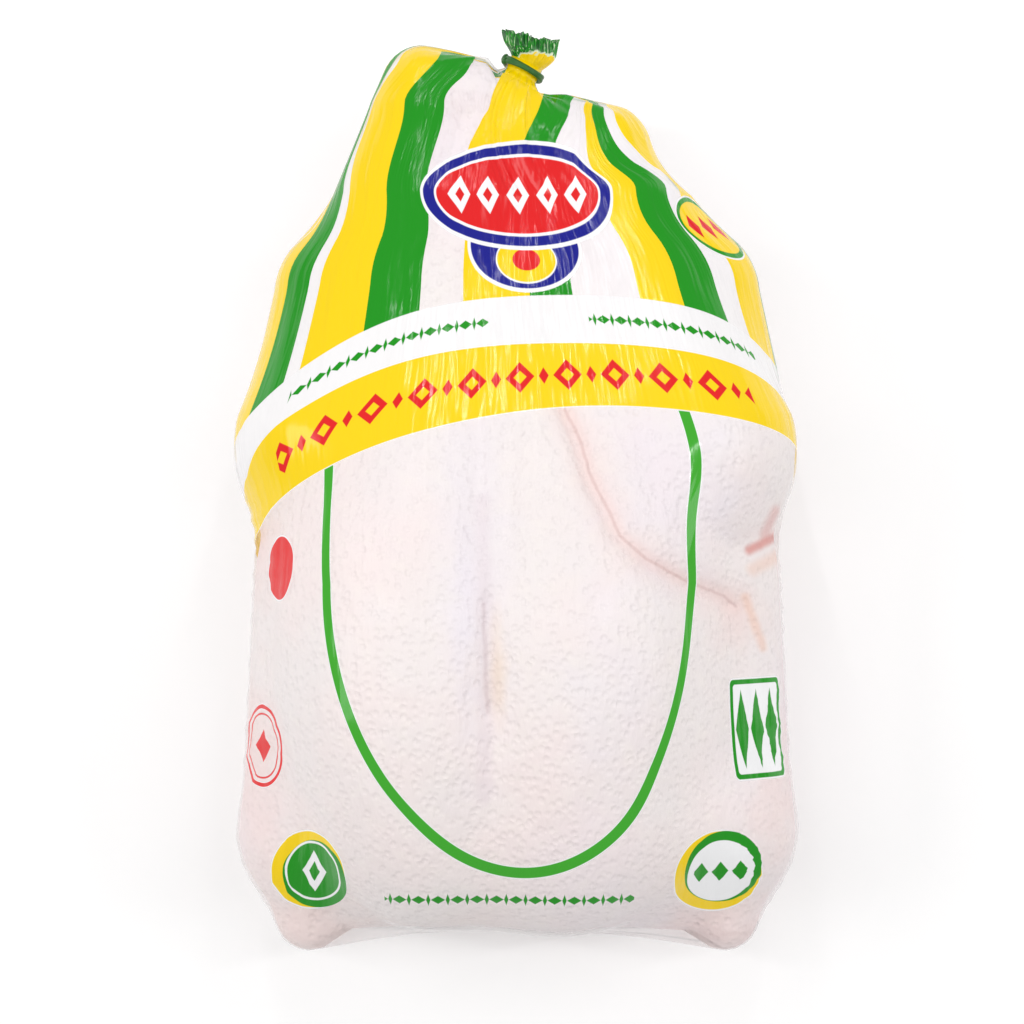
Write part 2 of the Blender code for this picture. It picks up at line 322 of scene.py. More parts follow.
# Badges: kind, centre, half size, corner or line or pitch, ink, and rim or reach
BADGES = {
    "crest": (
        ("oval", (4.8, 70.5), (21.4, 13.5), 0.0, BLUE_INK, 1.2),
        ("oval", (4.8, 65.5), (11.0, 6.6), 0.0, YELLOW_INK, 0.5),
        ("oval", (4.8, 65.5), (5.2, 3.2), 0.0, RED_INK, 0.0),
        ("oval", (6.0, 84.5), (42.0, 15.0), 0.0, BLUE_INK, 1.2),
        ("oval", (6.0, 84.5), (36.5, 11.3), 0.0, RED_INK, 0.9),
        ("row", (6.0, 84.5), (5.0, 5.6), 13.0, WHITE_INK, 32.0),
        ("row", (6.0, 84.5), (2.0, 2.2), 13.0, RED_INK, 32.0),
    ),
    "crown": (
        ("oval", (93.0, 76.0), (15.0, 9.0), 0.0, GREEN_INK, 0.5),
        ("oval", (93.0, 76.0), (13.4, 7.6), 0.0, YELLOW_INK, 0.0),
        ("row", (93.0, 76.0), (3.0, 3.4), 8.0, RED_INK, 11.5),
        ("oval", (-111.0, 80.0), (17.0, 9.0), 0.0, YELLOW_INK, 0.5),
        ("row", (-111.0, 80.0), (3.0, 3.4), 8.0, RED_INK, 11.5),
    ),
    "flanks": (
        ("oval", (-70.4, -109.6), (14.6, 11.9), 0.0, YELLOW_INK, 0.5),
        ("oval", (-68.3, -110.8), (12.5, 10.6), 0.0, GREEN_INK, 0.0),
        ("oval", (-69.2, -109.8), (10.9, 9.3), 0.0, WHITE_INK, 0.0),
        ("oval", (-69.2, -109.8), (10.2, 8.6), 0.0, GREEN_INK, 0.0),
        ("row", (-69.2, -109.8), (4.6, 6.4), 12.0, WHITE_INK, 5.5),
        ("row", (-69.2, -109.8), (2.2, 3.1), 12.0, GREEN_INK, 5.5),
        ("oval", (67.6, -109.9), (15.8, 12.2), 0.0, YELLOW_INK, 0.5),
        ("oval", (69.4, -108.6), (14.0, 10.9), 0.0, GREEN_INK, 0.0),
        ("oval", (68.6, -109.8), (11.9, 9.4), 0.0, WHITE_INK, 0.0),
        ("row", (68.6, -109.8), (3.0, 3.0), 7.0, GREEN_INK, 9.5),
        ("ring", (-94.0, -74.3), (12.2, 12.0), 1.2, RED_INK, 0.3),
        ("ring", (-94.0, -74.3), (9.6, 9.6), 0.6, RED_INK, 0.0),
        ("row", (-94.0, -74.3), (4.4, 4.8), 11.0, RED_INK, 5.0),
        ("oval", (-81.7, -22.9), (8.0, 9.0), 0.0, RED_INK, 0.5),
        ("bar", (89.5, -69.0), (12.0, 14.3), 1.5, GREEN_INK, 0.5),
        ("bar", (89.5, -69.0), (10.6, 12.9), 1.0, WHITE_INK, 0.0),
        ("row", (89.5, -69.0), (3.0, 11.4), 7.0, GREEN_INK, 10.5),
    ),
}

# Finish of the film: how it thins in patches, how far in from its outline its painted reflection
# reaches, how it shines and wrinkles
PATCH_SCALE = 70.0
PATCH_COVER = 0.05
EDGE_BLEND = 0.35
FILM_ROUGHNESS = 0.08
FILM_ROUGHER = 0.1
FILM_SHINE = 0.4
FILM_FINENESS = 220.0
TUFT_FINENESS = 900.0
TUFT_DEPTH = 0.5
CRINKLE_STRETCH = (1.0, 0.14, 1.0)
STREAK_HEIGHT = 0.0006
RIPPLE_HEIGHT = 0.0005

# Raw skin: its grain, its colours, and patches as centre and radii in metres, colour and strength
BROAD_SCALE = 16.0
COOL_SCALE = 9.0
FINE_SCALE = 240.0
RAG_SCALE = 90.0
PORE_SCALE = 430.0
WRINKLE_SCALE = 170.0
WRINKLE_STRETCH = (1.0, 0.3, 1.0)
PORE_HEIGHT = 0.00022
WRINKLE_HEIGHT = 0.0011
LINE_WAVER = 1.2
LINE_FADE_FROM = SECTION_Z - 12.0
LINE_FADE_TO = SECTION_Z + 2.0
SKIN_ROUGHNESS = 0.4
SKIN_ROUGHER = 0.2
SKIN_PALE = (0.87, 0.80, 0.79)
SKIN_PINK = (0.91, 0.785, 0.77)
SKIN_LILAC = (0.83, 0.77, 0.86)
SKIN_CREAM = (0.95, 0.89, 0.81)
SKIN_RED = (0.66, 0.16, 0.12)
SKIN_ORANGE = (0.88, 0.55, 0.42)
SKIN_TAN = (0.86, 0.62, 0.40)
# Blush of the skin in patches, and painted shade spreading from the leg's crease
BLUSH_AND_CREASE_SHADE = (0.88, 0.62, 0.58)
SKIN_SHADOW = (0.46, 0.33, 0.33)
# Painted shade for the valley beside the keel, drawn along the keel line
SKIN_VALLEY_SHADE = (0.72, 0.61, 0.66)
KEEL_LINE = ((-9.8, -4.0), (-9.2, -25.0), (-8.6, -62.0), (-9.2, -86.0))
SKIN_PATCHES = (
    ((0.045, 0.005, 0.075), (0.030, 0.045, 0.05), SKIN_LILAC, 0.45),
    # These two lilac patches paint shade in the valley beside the keel
    ((-0.0145, -0.035, 0.09), (0.006, 0.035, 0.03), SKIN_LILAC, 0.5),
    ((-0.0120, -0.020, 0.09), (0.016, 0.080, 0.03), SKIN_LILAC, 0.35),
    ((0.0250, -0.050, 0.08), (0.022, 0.060, 0.04), SKIN_LILAC, 0.35),
    ((0.060, -0.038, 0.060), (0.022, 0.014, 0.04), BLUSH_AND_CREASE_SHADE, 0.35),
    ((-0.075, -0.018, 0.048), (0.014, 0.022, 0.04), BLUSH_AND_CREASE_SHADE, 0.5),
    ((0.060, -0.128, 0.045), (0.026, 0.016, 0.05), BLUSH_AND_CREASE_SHADE, 0.5),
    ((-0.060, -0.128, 0.045), (0.026, 0.016, 0.05), BLUSH_AND_CREASE_SHADE, 0.5),
    ((-0.0055, -0.050, 0.092), (0.0045, 0.022, 0.03), SKIN_TAN, 0.45),
    ((0.074, -0.085, 0.050), (0.012, 0.040, 0.04), BLUSH_AND_CREASE_SHADE, 0.4),
    ((-0.074, -0.085, 0.050), (0.012, 0.040, 0.04), BLUSH_AND_CREASE_SHADE, 0.4),
)

# Lines on the skin, seen from above: path, half width, softness, colour and strength. The crease,
# notch and keel-valley lines are painted shade; the red and orange ones are marks on the skin
SKIN_LINES = (
    (LEG_CREASE[2:], 0.2, 0.6, SKIN_SHADOW, 0.75),
    # Painted shade, pinkish, spreading out from the leg's crease
    (LEG_CREASE[2:], 0.6, 3.0, BLUSH_AND_CREASE_SHADE, 0.4),
    (LEG_CREASE[2:], 0.6, 9.0, BLUSH_AND_CREASE_SHADE, 0.3),
    (KEEL_NOTCH, 0.2, 0.9, SKIN_SHADOW, 0.4),
    (KEEL_LINE, 0.4, 3.5, SKIN_VALLEY_SHADE, 0.38),
    (((66.5, -17.8), (76.2, -13.7), (80.3, -6.9)), 0.9, 1.4, SKIN_RED, 0.75),
    (((74.7, -6.9), (71.8, -13.1)), 1.0, 2.2, SKIN_RED, 0.4),
    (((68.0, -23.3), (77.6, -18.9)), 1.0, 2.4, SKIN_ORANGE, 0.5),
    (((65.6, -31.5), (70.9, -45.9)), 0.6, 1.8, SKIN_ORANGE, 0.6),
)

# Gathered tuft and tie strip
JAG_SCALE = 420.0
JAG_REACH = 3.0
CUP_SLANT = -0.9
TUFT_STREAK_SCALE = 1500.0
TUFT_STREAK_STRETCH = (1.0, 0.15, 1.0)
TUFT_ROUGHNESS = 0.18
TUFT_ROUGHER = 0.15
TIE_GRAIN_SCALE = 900.0
TIE_GRAIN_HEIGHT = 0.00012
TIE_ROUGHNESS = 0.3
TIE_ROUGHER = 0.2
CUP_EDGE = (1.0, 127.0)
# Painted shade in the tuft's folds
FOLD_SHADE_GREEN = (0.004, 0.10, 0.01)
# Painted shade in the tuft's opening
MOUTH_SHADE_BROWN = (0.06, 0.015, 0.012)
MOUTH_CENTRE = (0.0048, 0.1325, 0.047)
MOUTH_RADII = (0.0042, 0.0018, 0.005)
# Pale edge of the yellow cup, and the painted highlights along the tuft's folds
PALE_EDGE_AND_HIGHLIGHT = (0.75, 0.85, 0.6)
TIE_GREEN = (0.03, 0.17, 0.015)
TIE_DARK = (0.006, 0.07, 0.008)

# Stage
FLOOR_PALE = (0.95, 0.95, 0.95)
FLOOR_PALER = (0.98, 0.98, 0.98)
FLOOR_HALF = 3.0
FLOOR_ROUGHNESS = 0.7
FLOOR_GLOW = 0.09
SURROUND = 0.5
CAMERA_PLACE = (-1.254, -6.688, 883.0)
CAMERA_LENS = 100.0
CAMERA_SENSOR = 36.0
LIGHTS = (
    ("left_softbox", (-0.95, 0.05, 0.85), (0.0, 0.0, 0.05), (0.9, 0.5), 4.2),
    ("right_softbox", (0.95, 0.15, 0.85), (0.0, 0.0, 0.05), (0.9, 0.5), 3.5),
    ("left_strip", (-0.30, 0.1, 1.0), (0.0, 0.05, 0.06), (0.012, 0.5), 1.0),
    ("right_strip", (0.36, 0.1, 1.0), (0.0, 0.05, 0.06), (0.012, 0.5), 1.0),
    ("back_left_strip", (-0.16, 0.75, 0.75), (0.0, 0.07, 0.06), (0.008, 0.5), 0.8),
    ("back_right_strip", (0.20, 0.80, 0.68), (0.0, 0.07, 0.06), (0.008, 0.5), 0.7),
)


def ellipsoid(points, centre, radii):
    """Distance to an ellipsoid, near enough for tracing."""
    scaled = (points - np.array(centre)) / np.array(radii)
    first = np.linalg.norm(scaled, axis=-1)
    second = np.linalg.norm(scaled / np.array(radii), axis=-1)
    return first * (first - 1.0) / np.maximum(second, 1e-9)


def limb(points, start, end, start_radius, end_radius):
    """Distance to a tapered limb with round ends."""
    start = np.array(start)
    along = np.array(end) - start
    share = np.clip((points - start) @ along / (along @ along), 0.0, 1.0)
    radius = start_radius + (end_radius - start_radius) * share
    return np.linalg.norm(points - start - share[..., None] * along, axis=-1) - radius


def blend(first, second, softness):
    """Smooth union of two distances."""
    mix = np.clip(0.5 + 0.5 * (second - first) / softness, 0.0, 1.0)
    return second + (first - second) * mix - softness * mix * (1.0 - mix)


def mirrored(place, side):
    return (side * place[0], place[1], place[2])


def ease(share):
    """Smooth step from 0 to 1."""
    share = np.clip(share, 0.0, 1.0)
    return share * share * (3.0 - 2.0 * share)


def bird(points, softness=1.0):
    """Distance to the bird's skin."""
    body = ellipsoid(points, BACK_CENTRE, BACK_RADII)
    flap = ellipsoid(points, NECK_FLAP_CENTRE, NECK_FLAP_RADII)
    body = blend(body, flap, softness * BREAST_BLEND)
    for side in (-1, 1):
        lobe = (MIDLINE_X + side * BREAST_OUT, BREAST_Y, BREAST_Z)
        body = blend(body, ellipsoid(points, lobe, BREAST_RADII), softness * BREAST_BLEND)
    for side in (-1, 1):
        bend = mirrored(WING_BEND, side)
        wing = limb(points, mirrored(WING_SHOULDER, side), bend, WING_RADIUS, WING_RADIUS)
        elbow = limb(points, bend, mirrored(ELBOW, side), FOREARM_RADIUS, ELBOW_RADIUS)
        wing = blend(wing, elbow, softness * WING_BLEND)
        body = blend(body, wing, softness * WING_BLEND)
    for side in (-1, 1):
        knee = mirrored(THIGH_KNEE, side)
        hip = mirrored(THIGH_HIP, side)
        thigh = limb(points, knee, hip, THIGH_KNEE_RADIUS, THIGH_HIP_RADIUS)
        body = blend(body, thigh, softness * WING_BLEND)
    for leg in (RIGHT_DRUMSTICK, LEFT_DRUMSTICK, RIGHT_HOCK, LEFT_HOCK):
        body = blend(body, limb(points, *leg), softness * LEG_BLEND)
    return body


def lie(tilt):
    """The neck's side, up and along directions at a tilt in the XY plane."""
    side = np.array([math.cos(tilt), -math.sin(tilt), 0.0])
    along = np.array([math.sin(tilt), math.cos(tilt), 0.0])
    return side, np.array([0.0, 0.0, 1.0]), along


def round_angles(finer):
    return 2.0 * math.pi * np.arange(MERIDIANS * finer) / (MERIDIANS * finer)


def film_rays(finer_rings, finer_round):
    """Origins and directions of the rays that find the bird, ring by ring, without the poles."""
    angles = round_angles(finer_round)
    cap, body, fan = (count * finer_rings for count in (CAP_RINGS, BODY_RINGS, FAN_RINGS - 1))
    rings = []
    for i in range(1, cap):
        rings.append(((0.0, CAP_Y, SECTION_Z), -math.pi / 2 * (1.0 - i / cap), 0.0))
    for i in range(body):
        share = i / body
        rings.append(((FAN_X * share, CAP_Y + (FAN_Y - CAP_Y) * share, SECTION_Z), 0.0, 0.0))
    fan_start = np.array([FAN_X, FAN_Y, SECTION_Z])
    fan_end = np.array(TIE_CENTRE) - FAN_BACK * lie(TIE_TILT)[2]
    for i in range(fan + 1):
        share = i / fan
        rings.append((fan_start + (fan_end - fan_start) * share, FAN_TOP * share, TIE_TILT * share))
    origins, directions = [], []
    for place, rise, tilt in rings:
        side, up, along = lie(tilt)
        around = np.cos(angles)[:, None] * side + np.sin(angles)[:, None] * up
        directions.append(math.cos(rise) * around + math.sin(rise) * along)
        origins.append(np.tile(place, (len(angles), 1)))
    return np.array(origins), np.array(directions)


def reach(origins, directions, start, softness=1.0):
    """How far out along each ray the bird's skin lies, found from outside."""
    far = np.array(start)
    for _ in range(RAY_STEPS):
        points = origins + far[..., None] * directions
        far = np.maximum(far - RAY_STEP * np.maximum(bird(points, softness), 0.0), LEAST_RADIUS)
    return far


def neck_ring(distance, radius, pleat_depth, finer):
    """One pleated ring of film round the tied neck, at a distance along it from the tie."""
    side, up, along = lie(TIE_TILT + (TUFT_TILT - TIE_TILT) * ease(distance / TUFT_LENGTH))
    angles = round_angles(finer)
    radii = radius * (1.0 + pleat_depth * np.cos(PLEATS * angles))
    spread = np.cos(angles)[:, None] * side + np.sin(angles)[:, None] * up
    return np.array(TIE_CENTRE) + distance * along + radii[:, None] * spread


def neck_rings(finer_rings, finer_round):
    """The rings of the neck's shoulder and of the groove under the tie."""
    rings = []
    count = NECK_RINGS * finer_rings
    for i in range(count + 1):
        share = 1.0 - i / count
        radius = GROOVE_RADIUS + (SHOULDER_RADIUS - GROOVE_RADIUS) * float(ease(share))
        distance = -GROOVE_HALF_LENGTH - SHOULDER_LENGTH * share
        rings.append(neck_ring(distance, radius, PLEAT_DEPTH * share, finer_round))
    rings.append(neck_ring(GROOVE_HALF_LENGTH, GROOVE_RADIUS, 0.0, finer_round))
    return np.array(rings)


def drawn_taut(origins, directions, skin, far, held, steps, first):
    """Draws the film over the bird: it can leave the skin and never sinks into it."""
    far = far.copy()
    for _ in range(steps):
        film = origins + far[..., None] * directions
        end = np.broadcast_to(film[0].mean(axis=0), film[:1].shape)
        below = np.concatenate([end, film[:-1]])
        above = np.concatenate([film[1:], held[:1]])
        beside = np.roll(film, 1, axis=1) + np.roll(film, -1, axis=1)
        pull = (below + above + beside) / 4.0 - film
        pulled = np.maximum(skin, far + FILM_PULL * (pull * directions).sum(axis=-1))
        far[first:] = pulled[first:]
    return far


def coarse_film():
    """How far out the film lies along the coarse grid's rays."""
    origins, directions = film_rays(1, 1)
    held = neck_rings(1, 1)
    skin = reach(origins, directions, np.full(origins.shape[:-1], RAY_START))
    far = drawn_taut(origins, directions, skin, skin, held, NECK_STEPS, len(skin) - FAN_RINGS)
    return drawn_taut(origins, directions, skin, far, held, FILM_STEPS, 0)


def finer(coarse):
    """The coarse grid's values on the fine grid."""
    rings, around = coarse.shape
    ring = np.clip(np.arange(1, rings * FINER_RINGS + 1) / FINER_RINGS - 1.0, 0.0, rings - 1)
    low = np.minimum(ring.astype(int), rings - 2)
    share = (ring - low)[:, None]
    rows = coarse[low] * (1.0 - share) + coarse[low + 1] * share
    turn = np.arange(around * FINER_ROUND) / FINER_ROUND
    left = turn.astype(int)
    share = turn - left
    return rows[:, left % around] * (1.0 - share) + rows[:, (left + 1) % around] * share


def lengths_round(rings):
    """How far round its ring each point lies, from the first point on."""
    steps = np.linalg.norm(np.diff(rings, axis=1), axis=2)
    return np.concatenate([np.zeros((len(rings), 1)), np.cumsum(steps, axis=1)], axis=1)


def girth_places(film):
    """Each point's place round the flat tube of film, 0 on top and growing to the bird's right.

    Towards the tie the top of the film stays broad, and its sides gather into the folds.
    """
    count = film.shape[1]
    order = (3 * count // 4 - np.arange(count + 1)) % count
    film = film[:, order]
    so_far = lengths_round(film)
    share = so_far / so_far[:, -1:] - 0.5
    gather = ease((np.minimum(film[..., 1], FAN_Y) - GATHER_START) / GATHER_LENGTH)
    broad = 1.0 - GATHER_SHARE * gather
    gathered = 0.5 * np.sign(share) * np.abs(2.0 * share) ** 2
    places = TUBE_GIRTH * (broad * share + (1.0 - broad) * gathered) + GATHER_SHIFT * gather

    # Over the shoulders the top of the film keeps its lines nearly straight up to the edge.
    first = (CAP_RINGS + BODY_RINGS) * FINER_RINGS - 1
    top = slice(count // 4, 3 * count // 4 + 1)
    x, y = film[first:, top, 0], film[first:, top, 1]
    up = np.sin(round_angles(FINER_ROUND)[order[top]])
    level = ease((y - FAN_Y) / LEVEL_EASE)
    shift = LEVEL_SHIFT * level + SHOULDER_SHIFT * ease((y - SHOULDER_START) / SHOULDER_EASE)
    left = ease((-x - LEFT_SHIFT_FROM) / LEFT_SHIFT_EASE)
    shift += LEFT_SHIFT * left * ease((y - SHOULDER_START) / SHOULDER_EASE)
    kept = np.interp(x * (1.0 + LEVEL_STRETCH * level) - shift, x[0], places[first, top])
    # The middle stripe draws in towards the tie, and the left edge spreads less.
    drawn = MIDDLE_SHIFT * ease((y - MIDDLE_START) / MIDDLE_EASE)
    kept -= drawn * np.clip((kept - MIDDLE_FROM) / MIDDLE_SPAN, 0.0, 1.0)
    squeeze = LEFT_SQUEEZE * ease((y - FAN_Y) / MIDDLE_EASE)
    kept += squeeze * np.maximum(LEFT_SQUEEZE_FROM - kept, 0.0)
    # The right side folds in under the middle stripe where it nears the tie.
    past = np.maximum(y - RIGHT_GATHER_START, 0.0)
    pull = 1.0 + past * (RIGHT_GATHER + RIGHT_GATHER_MORE * past)
    beyond = np.maximum(kept - RIGHT_GATHER_FROM + drawn, 0.0)
    folded = RIGHT_GATHER_SPAN * (1.0 - np.exp(-pull * beyond / RIGHT_GATHER_SPAN))
    kept += ease(past / RIGHT_GATHER_EASE) * (folded - beyond)
    places[first:, top] += ease(up / TOP_EASE) * (kept - places[first:, top])

    # Over the round end the print runs on in level sections across the bag.
    cap = film[: CAP_RINGS * FINER_RINGS]
    heights = np.maximum.accumulate(cap[..., 1], axis=0)
    levels = np.linspace(heights[0].min() + 0.1, CAP_Y, CAP_LEVELS)
    sections = [
        [np.interp(levels, heights[:, k], cap[:, k, i]) for k in range(count + 1)]
        for i in (0, 2)
    ]
    sections = np.stack(sections, axis=-1).transpose(1, 0, 2)
    level_lengths = lengths_round(sections)
    scale = TUBE_GIRTH / level_lengths[-1, -1]
    level_places = (level_lengths - level_lengths[:, -1:] / 2.0) * scale
    for k in range(count + 1):
        places[: len(cap), k] = np.interp(cap[:, k, 1], levels, level_places[:, k])
    return order, places


def wound_sphere(name, rings, ends):
    """A sphere whose rings are moved onto the given ones, and whose poles onto the two ends."""
    count, around = rings.shape[:2]
    bm = bmesh.new()
    bmesh.ops.create_uvsphere(bm, u_segments=around, v_segments=count + 1, radius=1.0)
    grid = []
    for vertex in bm.verts:
        x, y, z = vertex.co
        height = math.asin(max(-1.0, min(1.0, z)))
        ring = round((math.pi / 2 + height) / math.pi * (count + 1))
        meridian = round(math.atan2(y, x) / (2.0 * math.pi) * around) % around
        grid.append((ring - 1, meridian))
        if ring == 0:
            vertex.co = Vector(ends[0]) * MM
        elif ring == count + 1:
            vertex.co = Vector(ends[1]) * MM
        else:
            vertex.co = Vector(rings[ring - 1, meridian]) * MM
    # Swapping the sphere's Y and Z turned its faces inwards.
    bmesh.ops.reverse_faces(bm, faces=bm.faces)
    mesh = bpy.data.meshes.new(name)
    bm.to_mesh(mesh)
    bm.free()
    mesh.shade_smooth()
    piece = bpy.data.objects.new(name, mesh)
    bpy.context.scene.collection.objects.link(piece)
    return piece, np.array(grid)


def lay_print(piece, grid, order, places, heights):
    """Writes each corner's place round and along the film, in metres, as the piece's UV map."""
    mesh = piece.data
    around = places.shape[1] - 1
    turn = np.empty(around, int)
    turn[order[:-1]] = np.arange(around)
    corner = np.empty(len(mesh.loops), np.int32)
    mesh.loops.foreach_get("vertex_index", corner)
    first = np.empty(len(mesh.polygons), np.int32)
    total = np.empty(len(mesh.polygons), np.int32)
    mesh.polygons.foreach_get("loop_start", first)
    mesh.polygons.foreach_get("loop_total", total)
    ring = np.clip(grid[corner, 0], 0, len(places) - 1)
    step = turn[grid[corner, 1]]
    pole = (grid[corner, 0] < 0) | (grid[corner, 0] >= len(places))
    face = np.repeat(np.arange(len(first)), total)
    # A pole's own meridian means nothing: it takes that of its face's other corners.
    known = np.where(pole, -1, step)
    top = np.maximum.reduceat(known, first)
    low = np.minimum.reduceat(np.where(pole, around, step), first)
    wraps = (top - low) > around // 2
    step = np.where(pole, top[face], step)
    step = np.where(wraps[face] & (step < around // 2), step + around, step)
    layer = mesh.uv_layers.new(name="print")
    flat = np.stack([places[ring, step], heights[ring, step % around]], axis=1) * MM
    layer.data.foreach_set("uv", flat.astype(np.float32).ravel())


def pressed_flat(points, floor):
    """Lifts what lies under a resting height onto it, with an eased edge."""
    z = points[..., 2] - floor
    eased = (z + FLAT_EASE) ** 2 / (4.0 * FLAT_EASE)
    points[..., 2] = floor + np.where(z < -FLAT_EASE, 0.0, np.where(z < FLAT_EASE, eased, z))
    return points


def hump(value, middle, width):
    """A smooth bump of height 1."""
    return np.exp(-(((value - middle) / width) ** 2))


def ridges(phase):
    """Narrow crests with broad troughs between them, from 0 to 1."""
    return (0.5 + 0.5 * np.cos(phase)) ** 3


def creased(film, directions):
    """Folds that run down from the tie, and short creases where the film spans the flanks."""
    x, y = film[..., 0], film[..., 1]
    angles = round_angles(FINER_ROUND)
    away = np.linalg.norm(film - np.array(TIE_CENTRE), axis=-1)
    fold = np.zeros(film.shape[:2])
    for count, phase, turn, height in FOLDS:
        fold += height * ridges(count * angles + phase + turn * away / FOLD_REACH)
    fold *= (1.0 - ease(away / FOLD_REACH)) * ease(away / FOLD_START)
    pleat = PLEAT_DEPTH * SHOULDER_RADIUS * (1.0 - ease(away / PLEAT_REACH))
    fold += pleat * np.cos(PLEATS * angles)
    for place, reach_x, reach_y, slope, pitch, height in CREASES:
        spot = hump(x, place[0], reach_x) * hump(y, place[1], reach_y)
        run = (y - place[1]) * math.cos(slope) + (x - place[0]) * math.sin(slope)
        wander = CREASE_WANDER * np.sin(WANDER_ACROSS * x + WANDER_ALONG * y)
        fold += height * spot * ridges(2.0 * math.pi * run / pitch + wander)
    return film + fold[..., None] * directions


def make_film(coarse):
    """The printed film, drawn taut on the fine grid and folded."""
    origins, directions = film_rays(FINER_RINGS, FINER_ROUND)
    held = neck_rings(FINER_RINGS, FINER_ROUND)
    spread = finer(coarse)
    skin = reach(origins, directions, spread + RAY_MARGIN)
    far = drawn_taut(origins, directions, skin, np.maximum(skin, spread), held, FINE_STEPS, 0)
    smooth = origins + far[..., None] * directions
    order, places = girth_places(np.concatenate([smooth, held]))
    rings = np.concatenate([pressed_flat(creased(smooth, directions), 0.0), held])
    ends = (rings[0].mean(axis=0), rings[-1].mean(axis=0))
    piece, grid = wound_sphere("printed_film", rings - MIDDLE, [end - MIDDLE for end in ends])
    lay_print(piece, grid, order, places, rings[:, order, 1])
    return piece, far


def path_distance(x, y, path):
    """Distance, seen from above, to a path of straight runs."""
    nearest = np.full(x.shape, np.inf)
    for start, end in zip(path, path[1:]):
        run = np.array(end) - start
        away = np.stack([x - start[0], y - start[1]], axis=-1)
        share = np.clip(away @ run / (run @ run), 0.0, 1.0)
        nearest = np.minimum(nearest, np.linalg.norm(away - share[..., None] * run, axis=-1))
    return nearest


def make_bird(far_film):
    """The bare bird under the film, with sharper creases, a keel notch and its own skin."""
    origins, directions = film_rays(FINER_RINGS, FINER_ROUND)
    far = reach(origins, directions, far_film + RAY_MARGIN, SKIN_SOFTNESS)
    points = origins + far_film[..., None] * directions
    x, y = points[..., 0], points[..., 1]
    waist = hump(y, WAIST_Y, WAIST_REACH) * ease((np.abs(x) - WAIST_X) / WAIST_EASE)
    slack = FLESH_SLACK + (1.0 - FLESH_SLACK) * waist
    points = points - (slack * np.maximum(far_film - far, 0.0))[..., None] * directions
    x, y, z = (points[..., i] for i in range(3))
    dent = np.zeros(far.shape)
    for place, reach_x, reach_y, lean, depth in DENTS:
        middle = place[0] + lean * (y - place[1])
        dent += depth * hump(x, middle, reach_x) * hump(y, place[1], reach_y) ** 2
    for path, width, depth in CREASE_PATHS:
        dent += depth * hump(path_distance(x, y, path), 0.0, width)
    dent *= ease((z - SECTION_Z + DENT_FADE) / (2.0 * DENT_FADE))
    points = points - (dent + SKIN_GAP)[..., None] * directions
    points = pressed_flat(points, SKIN_GAP)
    ends = (points[0].mean(axis=0), points[-1].mean(axis=0))
    piece, _ = wound_sphere("raw_chicken", points - MIDDLE, [end - MIDDLE for end in ends])
    return piece


def make_tuft():
    """The frilled end of the gathered film beyond the tie, open and hollow at its tip."""
    angles = round_angles(TUFT_FINER)
    frill = np.zeros(len(angles))
    for count, phase, height in FRILLS:
        frill += height * np.cos(count * angles + phase)
    rim = np.zeros(len(angles))
    for count, phase, height in RIM_WAVES:
        rim += height * np.cos(count * angles + phase)
    rings = []
    for i in range(TUFT_RINGS + 1):
        share = i / TUFT_RINGS
        distance = TUFT_START + (TUFT_LENGTH - TUFT_START) * share
        radius = TUFT_ROOT + (TUFT_RADIUS - TUFT_ROOT) * float(ease(share / TUFT_FLARE))
        frilled, rimmed = share ** FRILL_GROWTH * frill, share ** 2 * rim
        rings.append(tuft_ring(distance, radius, frilled, rimmed, angles))
    for i in range(1, RECESS_RINGS + 1):
        share = i / RECESS_RINGS
        distance = TUFT_LENGTH - RECESS_DEPTH * share
        radius = (TUFT_RADIUS - WALL) * (1.0 - RECESS_TAPER * share)
        fade = 1.0 - RECESS_FADE * share
        rings.append(tuft_ring(distance, radius, fade * frill, fade * rim, angles))
    rings = np.array(rings)
    ends = (rings[0].mean(axis=0), rings[-1].mean(axis=0))
    piece, _ = wound_sphere("film_tuft", rings - MIDDLE, [end - MIDDLE for end in ends])
    return piece


def tuft_ring(distance, radius, frill, rim, angles):
    """One ring of the tuft; its rim dips on top, so that the opening shows from above."""
    side, up, along = lie(TIE_TILT + (TUFT_TILT - TIE_TILT) * ease(distance / TUFT_LENGTH))
    spread = np.cos(angles)[:, None] * side + np.sin(angles)[:, None] * up
    dip = RIM_DIP * ease(distance / TUFT_LENGTH) ** 2 * np.sin(angles)
    place = np.array(TIE_CENTRE) + (distance + rim - dip)[:, None] * along
    return place + (radius * (1.0 + frill))[:, None] * spread


